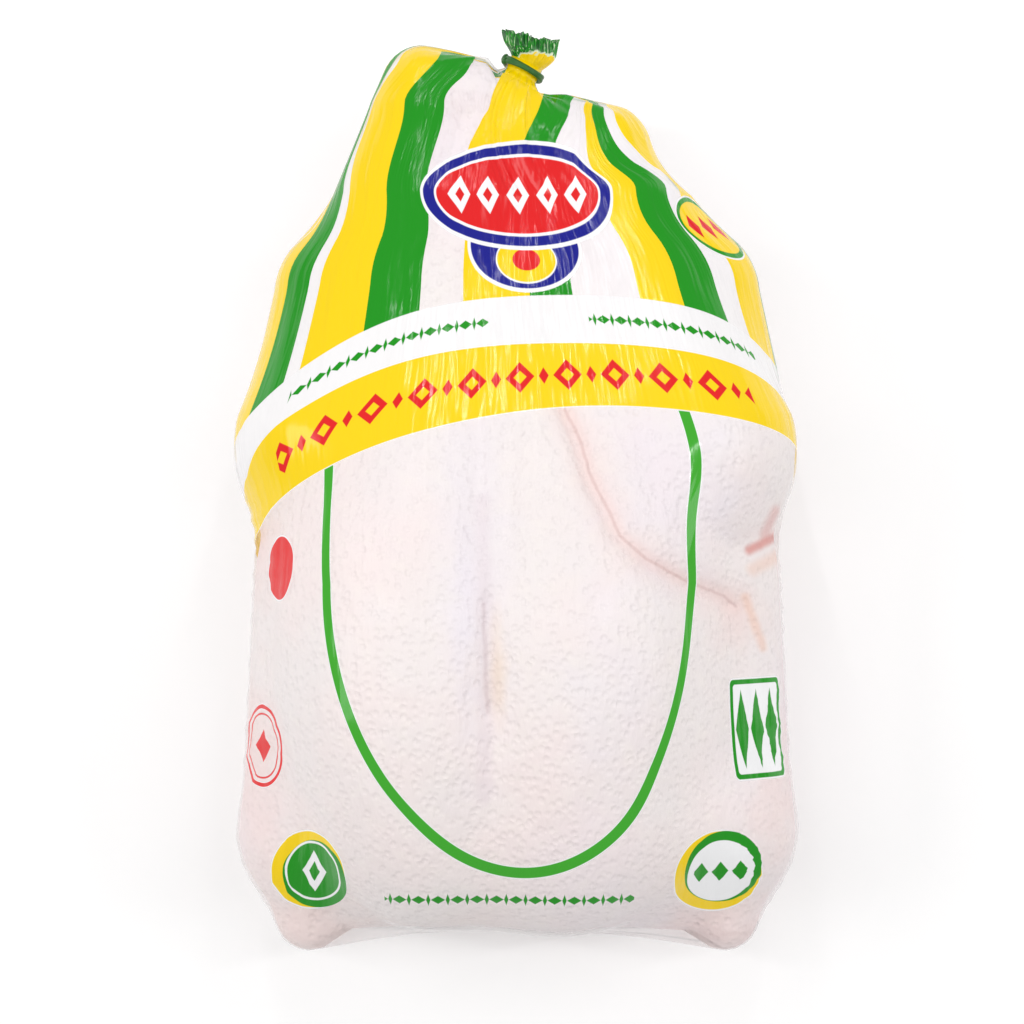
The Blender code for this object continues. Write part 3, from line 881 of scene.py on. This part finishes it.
def make_tie():
    """Two windings of a green strip that cross at the side, and the knot that holds them."""
    bm = bmesh.new()
    for shift, lean, turn in STRANDS:
        ring = bmesh.ops.create_circle(bm, segments=STRAND_SIDES, radius=STRAND_RADIUS * MM)
        flatten = Matrix.Diagonal((STRAND_FLATNESS, 1.0, 1.0, 1.0))
        stand = Matrix.Rotation(math.pi / 2, 4, "X")
        out = Matrix.Translation((STRAND_TURN * MM, 0.0, shift * MM))
        bmesh.ops.transform(bm, matrix=out @ stand @ flatten, verts=ring["verts"])
        edges = list({edge for vertex in ring["verts"] for edge in vertex.link_edges})
        bmesh.ops.spin(
            bm, geom=ring["verts"] + edges, cent=(0, 0, 0), axis=(0, 0, 1), dvec=(0, 0, 0),
            angle=2.0 * math.pi, steps=STRAND_STEPS, use_merge=True, use_duplicate=False,
        )
        made = {v for v in bm.verts if not v.tag}
        slant = Matrix.Rotation(turn, 4, "Z") @ Matrix.Rotation(lean, 4, "X")
        bmesh.ops.transform(bm, matrix=slant, verts=list(made))
        for vertex in made:
            vertex.tag = True
    for place, radii in KNOTS:
        lump = bmesh.ops.create_uvsphere(
            bm, u_segments=KNOT_SEGMENTS, v_segments=KNOT_RINGS, radius=MM
        )
        shape = Matrix.Translation(Vector(place) * MM) @ Matrix.Diagonal((*radii, 1.0))
        bmesh.ops.transform(bm, matrix=shape, verts=lump["verts"])
    bmesh.ops.remove_doubles(bm, verts=bm.verts, dist=WELD * MM)
    bmesh.ops.recalc_face_normals(bm, faces=bm.faces)
    lay = Matrix.Rotation(-TIE_TILT, 4, "Z") @ Matrix.Rotation(-math.pi / 2, 4, "X")
    place = Matrix.Translation(Vector(np.array(TIE_CENTRE) - MIDDLE) * MM)
    bmesh.ops.transform(bm, matrix=place @ lay, verts=bm.verts)
    mesh = bpy.data.meshes.new("neck_tie_band")
    bm.to_mesh(mesh)
    bm.free()
    mesh.shade_smooth()
    piece = bpy.data.objects.new("neck_tie_band", mesh)
    bpy.context.scene.collection.objects.link(piece)
    return piece


class Field:
    """A value that changes over the surface: arithmetic on it adds Math nodes to its tree."""

    def __init__(self, tree, socket):
        self.tree = tree
        self.socket = socket

    def calc(self, operation, *others):
        node = self.tree.nodes.new("ShaderNodeMath")
        node.operation = operation
        for socket, value in zip(node.inputs, (self, *others)):
            feed(self.tree, socket, value)
        return Field(self.tree, node.outputs[0])

    def __add__(self, other):
        return self.calc("ADD", other)

    def __sub__(self, other):
        return self.calc("SUBTRACT", other)

    def __mul__(self, other):
        return self.calc("MULTIPLY", other)

    def __truediv__(self, other):
        return self.calc("DIVIDE", other)

    def flipped(self):
        """1 minus this value."""
        return (self * -1.0) + 1.0

    def size(self):
        return self.calc("ABSOLUTE")

    def least(self, other):
        return self.calc("MINIMUM", other)

    def most(self, other):
        return self.calc("MAXIMUM", other)

    def between(self, low, high):
        """A smooth rise from 0 at low to 1 at high, which may be the smaller number."""
        node = self.tree.nodes.new("ShaderNodeMapRange")
        node.interpolation_type = "SMOOTHSTEP"
        turned = low > high
        for name, value in zip(("From Min", "From Max"), sorted((low, high))):
            node.inputs[name].default_value = value
        node.inputs["To Min"].default_value = 1.0 if turned else 0.0
        node.inputs["To Max"].default_value = 0.0 if turned else 1.0
        feed(self.tree, node.inputs["Value"], self)
        return Field(self.tree, node.outputs["Result"])


def feed(tree, socket, value):
    """Links a socket to a field or another socket, or sets it to a number or a colour."""
    if isinstance(value, Field):
        tree.links.new(value.socket, socket)
    elif isinstance(value, bpy.types.NodeSocket):
        tree.links.new(value, socket)
    elif isinstance(value, tuple) and len(value) == 3 and socket.type == "RGBA":
        socket.default_value = (*value, 1.0)
    else:
        socket.default_value = value


def place(tree, kind, outlet=0, settings=(), **inputs):
    """Adds a node, sets it up and returns one of its outlets as a field."""
    node = tree.nodes.new(kind)
    for name, value in settings:
        setattr(node, name, value)
    for name, value in inputs.items():
        feed(tree, node.inputs[name.replace("_", " ")], value)
    return Field(tree, node.outputs[outlet])


def mixed(tree, share, first, second):
    """A colour between two, by a share."""
    node = tree.nodes.new("ShaderNodeMix")
    node.data_type = "RGBA"
    feed(tree, node.inputs["Factor"], share)
    colours = [socket for socket in node.inputs if socket.type == "RGBA"]
    feed(tree, colours[0], first)
    feed(tree, colours[1], second)
    return Field(tree, next(s for s in node.outputs if s.type == "RGBA"))


def new_group(name, inputs, outputs):
    """A shader node group, its inputs as fields by name, and the node that takes its outputs."""
    tree = bpy.data.node_groups.new(name, "ShaderNodeTree")
    kinds = {"value": "NodeSocketFloat", "colour": "NodeSocketColor", "vector": "NodeSocketVector"}
    for label, (kind, value) in inputs.items():
        socket = tree.interface.new_socket(label, in_out="INPUT", socket_type=kinds[kind])
        if value is not None:
            socket.default_value = (*value, 1.0) if kind == "colour" else value
    for label, kind in outputs.items():
        tree.interface.new_socket(label, in_out="OUTPUT", socket_type=kinds[kind])
    source = tree.nodes.new("NodeGroupInput")
    sink = tree.nodes.new("NodeGroupOutput")
    return tree, {label: Field(tree, source.outputs[label]) for label in inputs}, sink


def use(tree, group, outlet=0, **inputs):
    """Places a node group with its values, and returns one outlet as a field."""
    node = tree.nodes.new("ShaderNodeGroup")
    node.node_tree = group
    for name, value in inputs.items():
        feed(tree, node.inputs[name.replace("_", " ")], value)
    return Field(tree, node.outputs[outlet])


def oval_group():
    """Distance to an oval's edge, less than 0 inside it."""
    tree, given, sink = new_group(
        "oval_shape",
        {
            "Around": ("value", 0.0), "Along": ("value", 0.0),
            "Centre Around": ("value", 0.0), "Centre Along": ("value", 0.0),
            "Radius Around": ("value", 10.0), "Radius Along": ("value", 10.0),
        },
        {"Distance": "value"},
    )
    x = given["Around"] - given["Centre Around"]
    y = given["Along"] - given["Centre Along"]
    sx, sy = x / given["Radius Around"], y / given["Radius Along"]
    tx, ty = sx / given["Radius Around"], sy / given["Radius Along"]
    first = (sx * sx + sy * sy).calc("SQRT")
    second = (tx * tx + ty * ty).calc("SQRT").most(0.0001)
    feed(tree, sink.inputs["Distance"], first * (first - 1.0) / second)
    return tree


def bar_group():
    """Distance to the edge of a rounded bar, less than 0 inside it."""
    tree, given, sink = new_group(
        "rounded_bar_shape",
        {
            "Around": ("value", 0.0), "Along": ("value", 0.0),
            "Centre Around": ("value", 0.0), "Centre Along": ("value", 0.0),
            "Half Around": ("value", 10.0), "Half Along": ("value", 10.0),
            "Corner": ("value", 1.0),
        },
        {"Distance": "value"},
    )
    x = (given["Around"] - given["Centre Around"]).size() - given["Half Around"] + given["Corner"]
    y = (given["Along"] - given["Centre Along"]).size() - given["Half Along"] + given["Corner"]
    outside_x, outside_y = x.most(0.0), y.most(0.0)
    outside = (outside_x * outside_x + outside_y * outside_y).calc("SQRT")
    distance = outside + x.most(y).least(0.0) - given["Corner"]
    feed(tree, sink.inputs["Distance"], distance)
    return tree


def lozenge_group():
    """Distance to the edge of a row of lozenges, less than 0 inside one."""
    tree, given, sink = new_group(
        "lozenge_row",
        {
            "Around": ("value", 0.0), "Along": ("value", 0.0),
            "Pitch": ("value", 10.0), "Half Around": ("value", 3.0), "Half Along": ("value", 3.0),
        },
        {"Distance": "value"},
    )
    turns = given["Around"] / given["Pitch"]
    x = (turns - turns.calc("ROUND")) * given["Pitch"]
    y = given["Along"]
    reach_sum = x.size() / given["Half Around"] + y.size() / given["Half Along"] - 1.0
    slope = given["Half Around"] * given["Half Along"]
    slope = slope / (given["Half Around"] * given["Half Around"]
                     + given["Half Along"] * given["Half Along"]).calc("SQRT")
    feed(tree, sink.inputs["Distance"], reach_sum * slope)
    return tree


def arc_group():
    """Height of a line that dips towards the sides of the film."""
    tree, given, sink = new_group(
        "dipping_line",
        {
            "Around": ("value", 0.0), "Middle": ("value", 0.0), "Height": ("value", 0.0),
            "Swing": ("value", 10.0), "Bend": ("value", 0.0),
        },
        {"Height": "value"},
    )
    angle = (given["Around"] - given["Middle"]) * (2.0 * math.pi / TUBE_GIRTH)
    height = given["Height"] + given["Swing"] * angle.calc("COSINE")
    height = height + given["Bend"] * (angle * 2.0).calc("COSINE")
    feed(tree, sink.inputs["Height"], height)
    return tree


def ink_group():
    """Lays an ink over what is printed so far."""
    tree, given, sink = new_group(
        "laid_ink",
        {
            "Colour": ("colour", (1.0, 1.0, 1.0)), "Cover": ("value", 0.0),
            "Distance": ("value", 1.0), "Ink": ("colour", (1.0, 1.0, 1.0)),
            "Opacity": ("value", 1.0),
        },
        {"Colour": "colour", "Cover": "value"},
    )
    inside = given["Distance"].between(INK_EDGE, -INK_EDGE)
    feed(tree, sink.inputs["Colour"], mixed(tree, inside, given["Colour"], given["Ink"]))
    shift = (given["Opacity"] - given["Cover"]) * inside
    feed(tree, sink.inputs["Cover"], given["Cover"] + shift)
    return tree


def crinkle_group():
    """Height of the fine wrinkles of taut film, which run down the bag, in metres."""
    tree, given, sink = new_group(
        "film_crinkle",
        {"Position": ("vector", None), "Fineness": ("value", 1.0), "Depth": ("value", 1.0)},
        {"Height": "value"},
    )
    long_waves = place(
        tree, "ShaderNodeMapping", Vector=given["Position"], Scale=CRINKLE_STRETCH
    )
    streaks = place(
        tree, "ShaderNodeTexNoise", Vector=long_waves, Scale=given["Fineness"],
        Detail=2.0, Roughness=0.5,
    )
    ripple = place(
        tree, "ShaderNodeTexNoise", Vector=given["Position"], Scale=given["Fineness"] * 0.3,
        Detail=1.0, Roughness=0.5,
    )
    height = (streaks - 0.5) * STREAK_HEIGHT + (ripple - 0.5) * RIPPLE_HEIGHT
    feed(tree, sink.inputs["Height"], height * given["Depth"])
    return tree


def new_material(name):
    """A material's tree with its shader and its output in place."""
    material = bpy.data.materials.new(name)
    material.use_nodes = True
    tree = material.node_tree
    shader = next(node for node in tree.nodes if node.type == "BSDF_PRINCIPLED")
    return material, tree, shader


def bumped(tree, height, strength=1.0):
    return place(tree, "ShaderNodeBump", 0, Strength=strength, Distance=1.0, Height=height)


def printed_on(tree, groups, zone):
    """One zone's print: the colour laid on the film, and how far it covers what is under it."""
    spots = place(tree, "ShaderNodeUVMap", 0, (("uv_map", "print"),))
    parts = tree.nodes.new("ShaderNodeSeparateXYZ")
    feed(tree, parts.inputs[0], spots)
    around = Field(tree, parts.outputs["X"]) / MM
    along = Field(tree, parts.outputs["Y"]) / MM

    def oval(centre, radii, lean=0.0):
        return use(tree, groups["oval"], Around=around + lean, Along=along,
                   Centre_Around=centre[0], Centre_Along=centre[1], Radius_Around=radii[0],
                   Radius_Along=radii[1])

    def bar(centre, half, corner):
        return use(tree, groups["bar"], Around=around, Along=along, Centre_Around=centre[0],
                   Centre_Along=centre[1], Half_Around=half[0], Half_Along=half[1], Corner=corner)

    def arc(line):
        return use(tree, groups["arc"], Around=around, Middle=line[0], Height=line[1],
                   Swing=line[2], Bend=line[3])

    def lozenges(along_line, pitch, half, shift, spans):
        """A row of lozenges, kept only in spans round the film."""
        row = use(tree, groups["lozenge"], Around=around + shift, Along=along_line, Pitch=pitch,
                  Half_Around=half[0], Half_Along=half[1])
        outside = None
        for low, high in spans:
            span = (around - (low + high) / 2.0).size() - (high - low) / 2.0
            outside = span if outside is None else outside.least(span)
        return row.most(outside)

    printed = {"colour": WHITE_INK, "cover": CLEAR_COVER}

    def lay(distance, colour, opacity=INK_OPACITY, rim=0.0):
        if rim:
            lay(distance - rim, WHITE_INK, RIM_OPACITY)
        node = tree.nodes.new("ShaderNodeGroup")
        node.node_tree = groups["ink"]
        for name, value in (
            ("Colour", printed["colour"]), ("Cover", printed["cover"]),
            ("Distance", distance), ("Ink", colour), ("Opacity", opacity),
        ):
            feed(tree, node.inputs[name], value)
        printed["colour"] = Field(tree, node.outputs["Colour"])
        printed["cover"] = Field(tree, node.outputs["Cover"])

    low_line = arc(BAND_LINE)
    over_band = along - low_line
    if zone in ("crown", "crest"):
        top_line = arc(TOP_LINE).most(low_line + BAND_LEAST)
        above = along - top_line
        # White panel, and the stripes that rise from it to the tie
        lay((above * -1.0).most(above - PANEL_TOP), WHITE_INK, PANEL_COVER)
        ramp = tree.nodes.new("ShaderNodeValToRGB")
        ramp.color_ramp.interpolation = "CONSTANT"
        stops = stripe_stops()
        elements = ramp.color_ramp.elements
        while len(elements) < len(stops):
            elements.new(1.0)
        for element, (spot, colour, cover) in zip(elements, stops):
            element.position = spot / TUBE_GIRTH + 0.5
            element.color = (*colour, cover)
        turned = around.calc("WRAP", TUBE_GIRTH / 2.0, -TUBE_GIRTH / 2.0)
        feed(tree, ramp.inputs[0], turned / TUBE_GIRTH + 0.5)
        striped = Field(tree, ramp.outputs["Color"])
        lay((above - STRIPE_FOOT) * -1.0, striped, Field(tree, ramp.outputs["Alpha"]))
    if zone == "crown":
        # Band across the bag, with its row of ornaments, and a row of dashes above it
        lay(above.most(over_band * -1.0), YELLOW_INK, rim=0.3)
        middle = along - (top_line + low_line) * 0.5
        for pitch, half, shift, colour in BAND_ORNAMENTS:
            lay(lozenges(middle, pitch, half, shift, BAND_SPANS), colour)
        long_dash, short_dash = (
            lozenges(above - DASH_HEIGHT, *dash, DASH_SPANS) for dash in DASHES
        )
        lay(long_dash.least(short_dash), GREEN_INK)
    if zone in ("breast", "flanks"):
        # Haze outside the long loop, the loop's own line, and the band's lower part
        lean = (along - LOOP_LEAN_FROM).most(0.0) * LOOP_LEAN
        knee = (along - KNEE_Y).size().between(KNEE_REACH, 0.0) * around.between(*KNEE_SIDE)
        lean = lean + knee * KNEE_SHIFT
        loop = oval(*LOOP, lean)
        lay(over_band.most(loop * -1.0), WHITE_INK, HAZE_COVER)
        line = (loop + LOOP_LINE / 2.0).size() - LOOP_LINE / 2.0
        lay(line.most(over_band), LOOP_INK, rim=0.35)
    if zone == "breast":
        long_dash, short_dash = (
            lozenges(along - LOW_ROW, *dash, LOW_SPANS) for dash in DASHES
        )
        lay(long_dash.least(short_dash), GREEN_INK)
    if zone == "underside":
        lay(over_band, WHITE_INK, HAZE_COVER)
    if zone not in ("crown", "crest"):
        lay(over_band * -1.0, YELLOW_INK, rim=0.3)
    for kind, centre, size, corner, colour, rim in BADGES.get(zone, ()):
        if kind == "oval":
            lay(oval(centre, size), colour, rim=rim)
        elif kind == "ring":
            lay((oval(centre, size) + corner / 2.0).size() - corner / 2.0, colour, rim=rim)
        elif kind == "bar":
            lay(bar(centre, size, corner), colour, rim=rim)
        else:
            spans = ((centre[0] - rim, centre[0] + rim),)
            lay(lozenges(along - centre[1], corner, size, -centre[0], spans), colour)
    return printed["colour"], printed["cover"]


def stripe_stops():
    """Where each stripe's colour starts round the film."""
    stops = [(-TUBE_GIRTH / 2.0, WHITE_INK, GAP_COVER)]
    for (yellow, green, end), gap in STRIPES:
        stops.append((yellow, YELLOW_INK, INK_OPACITY))
        stops.append((green, GREEN_INK, INK_OPACITY))
        stops.append((end, WHITE_INK, gap))
    return stops


def film_material(groups, zone):
    material, tree, shader = new_material("printed_film_" + zone)
    colour, cover = printed_on(tree, groups, zone)
    coordinates = place(tree, "ShaderNodeTexCoord", "Object")
    patchy = place(tree, "ShaderNodeTexNoise", Vector=coordinates, Scale=PATCH_SCALE,
                   Detail=1.0)
    thin = patchy.between(0.3, 0.75) * PATCH_COVER
    # Painted reflection: towards its outline the film grows opaque in its own white or ink colour,
    # standing in for the surround's reflection at grazing angles
    edge = place(tree, "ShaderNodeLayerWeight", "Fresnel", Blend=EDGE_BLEND)
    painted_edge_sheen = edge.between(0.05, 0.9) * EDGE_SHEEN_COVER
    total = (cover + thin * cover.flipped()).calc("MAXIMUM", painted_edge_sheen)
    spots = place(tree, "ShaderNodeUVMap", 0, (("uv_map", "print"),))
    height = use(tree, groups["crinkle"], Position=spots, Fineness=FILM_FINENESS, Depth=1.0)
    feed(tree, shader.inputs["Base Color"], colour)
    feed(tree, shader.inputs["Alpha"], total.least(1.0))
    feed(tree, shader.inputs["Roughness"], patchy * FILM_ROUGHER + FILM_ROUGHNESS)
    feed(tree, shader.inputs["Normal"], bumped(tree, height))
    shader.inputs["Specular IOR Level"].default_value = FILM_SHINE
    return material


def film_zone(around, along):
    """The zone of the print that a place on the film lies in."""
    angle = 2.0 * math.pi * (around - BAND_LINE[0]) / TUBE_GIRTH
    low_line = BAND_LINE[1] + BAND_LINE[2] * math.cos(angle) + BAND_LINE[3] * math.cos(2.0 * angle)
    if along > low_line + ZONE_RISE:
        in_crest = abs(around - CREST_MIDDLE) < CREST_HALF and along > CREST_FOOT
        return "crest" if in_crest else "crown"
    if abs(around) > UNDERSIDE_FROM:
        return "underside"
    return "flanks" if abs(around) > BREAST_HALF else "breast"


def dress_film(film, groups):
    """Gives each zone of the film its own print."""
    zones = ("crown", "crest", "breast", "flanks", "underside")
    for zone in zones:
        film.data.materials.append(film_material(groups, zone))
    places = film.data.uv_layers["print"].data
    for face in film.data.polygons:
        spots = [places[i].uv for i in face.loop_indices]
        around = sum(spot.x for spot in spots) / len(spots) / MM
        along = sum(spot.y for spot in spots) / len(spots) / MM
        face.material_index = zones.index(film_zone(around, along))


def skin_material(groups):
    """Pale raw skin: pink, cream and lilac, pimpled and wrinkled, with painted shade along its
    creases and in the keel's valley.
    """
    material, tree, shader = new_material("raw_skin")
    coordinates = place(tree, "ShaderNodeTexCoord", "Object")
    broad = place(tree, "ShaderNodeTexNoise", Vector=coordinates, Scale=BROAD_SCALE,
                  Detail=3.0, Roughness=0.6)
    cool = place(tree, "ShaderNodeTexNoise", Vector=coordinates, Scale=COOL_SCALE, Detail=2.0)
    fine = place(tree, "ShaderNodeTexNoise", Vector=coordinates, Scale=FINE_SCALE, Detail=2.0)
    skin = mixed(tree, broad.between(0.35, 0.68), SKIN_PALE, SKIN_PINK)
    skin = mixed(tree, cool.between(0.5, 0.75) * 0.55, skin, SKIN_LILAC)
    skin = mixed(tree, fine.between(0.45, 0.75) * 0.18, skin, SKIN_CREAM)
    ragged = place(tree, "ShaderNodeTexNoise", Vector=coordinates, Scale=RAG_SCALE, Detail=2.0)
    # The lilac patches beside the keel paint shade in its valley
    for centre, radii, colour, most in SKIN_PATCHES:
        near = use(tree, groups["patch"], Position=coordinates, Centre=centre, Radii=radii,
                   Rag=ragged)
        skin = mixed(tree, near * most, skin, colour)
    x, y, z = in_bird_frame(tree, coordinates)
    upper = z.between(LINE_FADE_FROM, LINE_FADE_TO)
    waver = (fine - 0.5) * LINE_WAVER
    wavered = x + waver
    drawn = {}
    for path, half, soft, colour, most in SKIN_LINES:
        if path not in drawn:
            runs = [
                use(tree, groups["stroke"], X=wavered, Y=y, Start_X=start[0],
                    Start_Y=start[1], End_X=end[0], End_Y=end[1])
                for start, end in zip(path, path[1:])
            ]
            drawn[path] = functools.reduce(Field.least, runs)
        away = drawn[path]
        # The crease, notch and keel-valley lines paint shade onto the skin; the red and orange
        # lines are marks on it
        skin = mixed(tree, away.between(half + soft, half * 0.3) * upper * most, skin, colour)
    pores = place(tree, "ShaderNodeTexVoronoi", "Distance", Vector=coordinates,
                  Scale=PORE_SCALE)
    wrinkle_path = place(tree, "ShaderNodeMapping", Vector=coordinates,
                         Scale=WRINKLE_STRETCH)
    wrinkles = place(tree, "ShaderNodeTexNoise", Vector=wrinkle_path, Scale=WRINKLE_SCALE,
                     Detail=3.0, Roughness=0.6)
    height = pores.between(0.1, 0.6) * PORE_HEIGHT + wrinkles * WRINKLE_HEIGHT
    feed(tree, shader.inputs["Base Color"], skin)
    feed(tree, shader.inputs["Roughness"], fine * SKIN_ROUGHER + SKIN_ROUGHNESS)
    feed(tree, shader.inputs["Normal"], bumped(tree, height))
    return material


def in_bird_frame(tree, coordinates):
    """Millimetres along X, Y and Z in the frame that the pieces are worked out in."""
    parts = tree.nodes.new("ShaderNodeSeparateXYZ")
    feed(tree, parts.inputs[0], coordinates)
    return (Field(tree, parts.outputs[i]) / MM + float(MIDDLE[i]) for i in range(3))


def stroke_group():
    """Distance, seen from above, to a straight stroke between two places."""
    tree, given, sink = new_group(
        "straight_stroke",
        {name: ("value", 0.0) for name in ("X", "Y", "Start X", "Start Y", "End X", "End Y")},
        {"Distance": "value"},
    )
    x, y = given["X"] - given["Start X"], given["Y"] - given["Start Y"]
    run_x, run_y = given["End X"] - given["Start X"], given["End Y"] - given["Start Y"]
    share = (x * run_x + y * run_y) / (run_x * run_x + run_y * run_y)
    share = share.most(0.0).least(1.0)
    x, y = x - share * run_x, y - share * run_y
    feed(tree, sink.inputs["Distance"], (x * x + y * y).calc("SQRT"))
    return tree


def patch_group():
    """How near a point is to a soft, ragged patch, from 0 to 1."""
    tree, given, sink = new_group(
        "soft_patch",
        {
            "Position": ("vector", None), "Centre": ("vector", (0.0, 0.0, 0.0)),
            "Radii": ("vector", (1.0, 1.0, 1.0)), "Rag": ("value", 0.5),
        },
        {"Share": "value"},
    )
    away = place(tree, "ShaderNodeVectorMath", 0, (("operation", "SUBTRACT"),))
    feed(tree, away.socket.node.inputs[0], given["Position"])
    feed(tree, away.socket.node.inputs[1], given["Centre"])
    scaled = place(tree, "ShaderNodeVectorMath", 0, (("operation", "DIVIDE"),))
    feed(tree, scaled.socket.node.inputs[0], away)
    feed(tree, scaled.socket.node.inputs[1], given["Radii"])
    length = place(tree, "ShaderNodeVectorMath", "Value", (("operation", "LENGTH"),))
    feed(tree, length.socket.node.inputs[0], scaled)
    reach_out = length + (given["Rag"] - 0.5) * 0.9
    feed(tree, sink.inputs["Share"], reach_out.between(1.0, 0.15))
    return tree


def tuft_material(groups):
    """The gathered end of the film: green folds with painted shade and painted highlights along
    them, a yellow cup by the tie, and painted shade in its opening.
    """
    material, tree, shader = new_material("gathered_film")
    coordinates = place(tree, "ShaderNodeTexCoord", "Object")
    x, y, _ = in_bird_frame(tree, coordinates)
    jag = place(tree, "ShaderNodeTexNoise", Vector=coordinates, Scale=JAG_SCALE, Detail=2.0)
    slant = (x - CUP_EDGE[0]).least(0.0) * CUP_SLANT
    from_cup = y - CUP_EDGE[1] + slant + (jag - 0.5) * JAG_REACH
    streaked = place(tree, "ShaderNodeMapping", Vector=coordinates,
                     Scale=TUFT_STREAK_STRETCH)
    fold_light_and_shade = place(tree, "ShaderNodeTexNoise", Vector=streaked, Scale=TUFT_STREAK_SCALE,
                   Detail=2.0)
    # Painted shade and painted highlights in streaks along the folds
    green = mixed(tree, fold_light_and_shade.between(0.42, 0.56), FOLD_SHADE_GREEN, GREEN_INK)
    green = mixed(tree, fold_light_and_shade.between(0.58, 0.66) * 0.8, green, PALE_EDGE_AND_HIGHLIGHT)
    edge = mixed(tree, from_cup.between(0.9, 0.3), green, PALE_EDGE_AND_HIGHLIGHT)
    colour = mixed(tree, from_cup.between(0.25, -0.1), edge, YELLOW_INK)
    # Painted shade in the opening of the tuft
    mouth_shade = use(tree, groups["patch"], Position=coordinates, Centre=MOUTH_CENTRE,
                Radii=MOUTH_RADII, Rag=jag)
    colour = mixed(tree, mouth_shade, colour, MOUTH_SHADE_BROWN)
    feed(tree, shader.inputs["Base Color"], colour)
    feed(tree, shader.inputs["Roughness"], jag * TUFT_ROUGHER + TUFT_ROUGHNESS)
    height = use(tree, groups["crinkle"], Position=coordinates, Fineness=TUFT_FINENESS,
                 Depth=TUFT_DEPTH)
    feed(tree, shader.inputs["Normal"], bumped(tree, height))
    return material


def tie_material():
    """Dull green plastic strip, mottled darker by a fine grain."""
    material, tree, shader = new_material("tie_strip")
    coordinates = place(tree, "ShaderNodeTexCoord", "Object")
    grain = place(tree, "ShaderNodeTexNoise", Vector=coordinates, Scale=TIE_GRAIN_SCALE,
                  Detail=3.0)
    feed(tree, shader.inputs["Base Color"], mixed(tree, grain, TIE_GREEN, TIE_DARK))
    feed(tree, shader.inputs["Roughness"], grain * TIE_ROUGHER + TIE_ROUGHNESS)
    feed(tree, shader.inputs["Normal"], bumped(tree, grain * TIE_GRAIN_HEIGHT))
    return material


def floor_material():
    material, tree, shader = new_material("pale_floor")
    coordinates = place(tree, "ShaderNodeTexCoord", "Object")
    cloud = place(tree, "ShaderNodeTexNoise", Vector=coordinates, Scale=3.0, Detail=2.0)
    feed(tree, shader.inputs["Base Color"], mixed(tree, cloud, FLOOR_PALE, FLOOR_PALER))
    shader.inputs["Roughness"].default_value = FLOOR_ROUGHNESS
    shader.inputs["Emission Color"].default_value = (1.0, 1.0, 1.0, 1.0)
    shader.inputs["Emission Strength"].default_value = FLOOR_GLOW
    return material


def dress(piece, material):
    piece.data.materials.clear()
    piece.data.materials.append(material)


def light_room():
    """Soft lights at the sides, thin strips for the film's streaks, and a pale surround."""
    for name, spot, aim, size, power in LIGHTS:
        data = bpy.data.lights.new(name, "AREA")
        data.shape = "RECTANGLE"
        data.size, data.size_y = size
        data.energy = power
        lamp = bpy.data.objects.new(name, data)
        lamp.location = spot
        towards = Vector(aim) - Vector(spot)
        lamp.rotation_euler = towards.to_track_quat("-Z", "Y").to_euler()
        bpy.context.scene.collection.objects.link(lamp)
    world = bpy.data.worlds.new("pale_surround")
    world.use_nodes = True
    surround = next(node for node in world.node_tree.nodes if node.type == "BACKGROUND")
    surround.inputs["Color"].default_value = (1.0, 1.0, 1.0, 1.0)
    surround.inputs["Strength"].default_value = SURROUND
    bpy.context.scene.world = world


def set_camera():
    data = bpy.data.cameras.new("overhead")
    data.lens = CAMERA_LENS
    data.sensor_width = CAMERA_SENSOR
    camera = bpy.data.objects.new("overhead", data)
    camera.location = Vector(CAMERA_PLACE) * MM
    bpy.context.scene.collection.objects.link(camera)
    bpy.context.scene.camera = camera


def make_floor():
    bm = bmesh.new()
    bmesh.ops.create_grid(bm, x_segments=1, y_segments=1, size=FLOOR_HALF)
    mesh = bpy.data.meshes.new("floor")
    bm.to_mesh(mesh)
    bm.free()
    floor = bpy.data.objects.new("floor", mesh)
    bpy.context.scene.collection.objects.link(floor)
    dress(floor, floor_material())


def main():
    groups = {
        "oval": oval_group(), "bar": bar_group(), "lozenge": lozenge_group(),
        "arc": arc_group(), "ink": ink_group(), "crinkle": crinkle_group(),
        "patch": patch_group(), "stroke": stroke_group(),
    }
    film, far = make_film(coarse_film())
    dress_film(film, groups)
    film.visible_shadow = False
    film.visible_diffuse = False
    chicken = make_bird(far)
    dress(chicken, skin_material(groups))
    tuft = make_tuft()
    dress(tuft, tuft_material(groups))
    tie = make_tie()
    dress(tie, tie_material())
    for piece, node in ((film, BAG_NODE), (chicken, BAG_NODE), (tuft, BAG_NODE), (tie, TIE_NODE)):
        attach(piece, ROOT)
        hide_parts(node)
    make_floor()
    light_room()
    set_camera()
    bpy.context.scene.view_settings.view_transform = "Standard"


main()
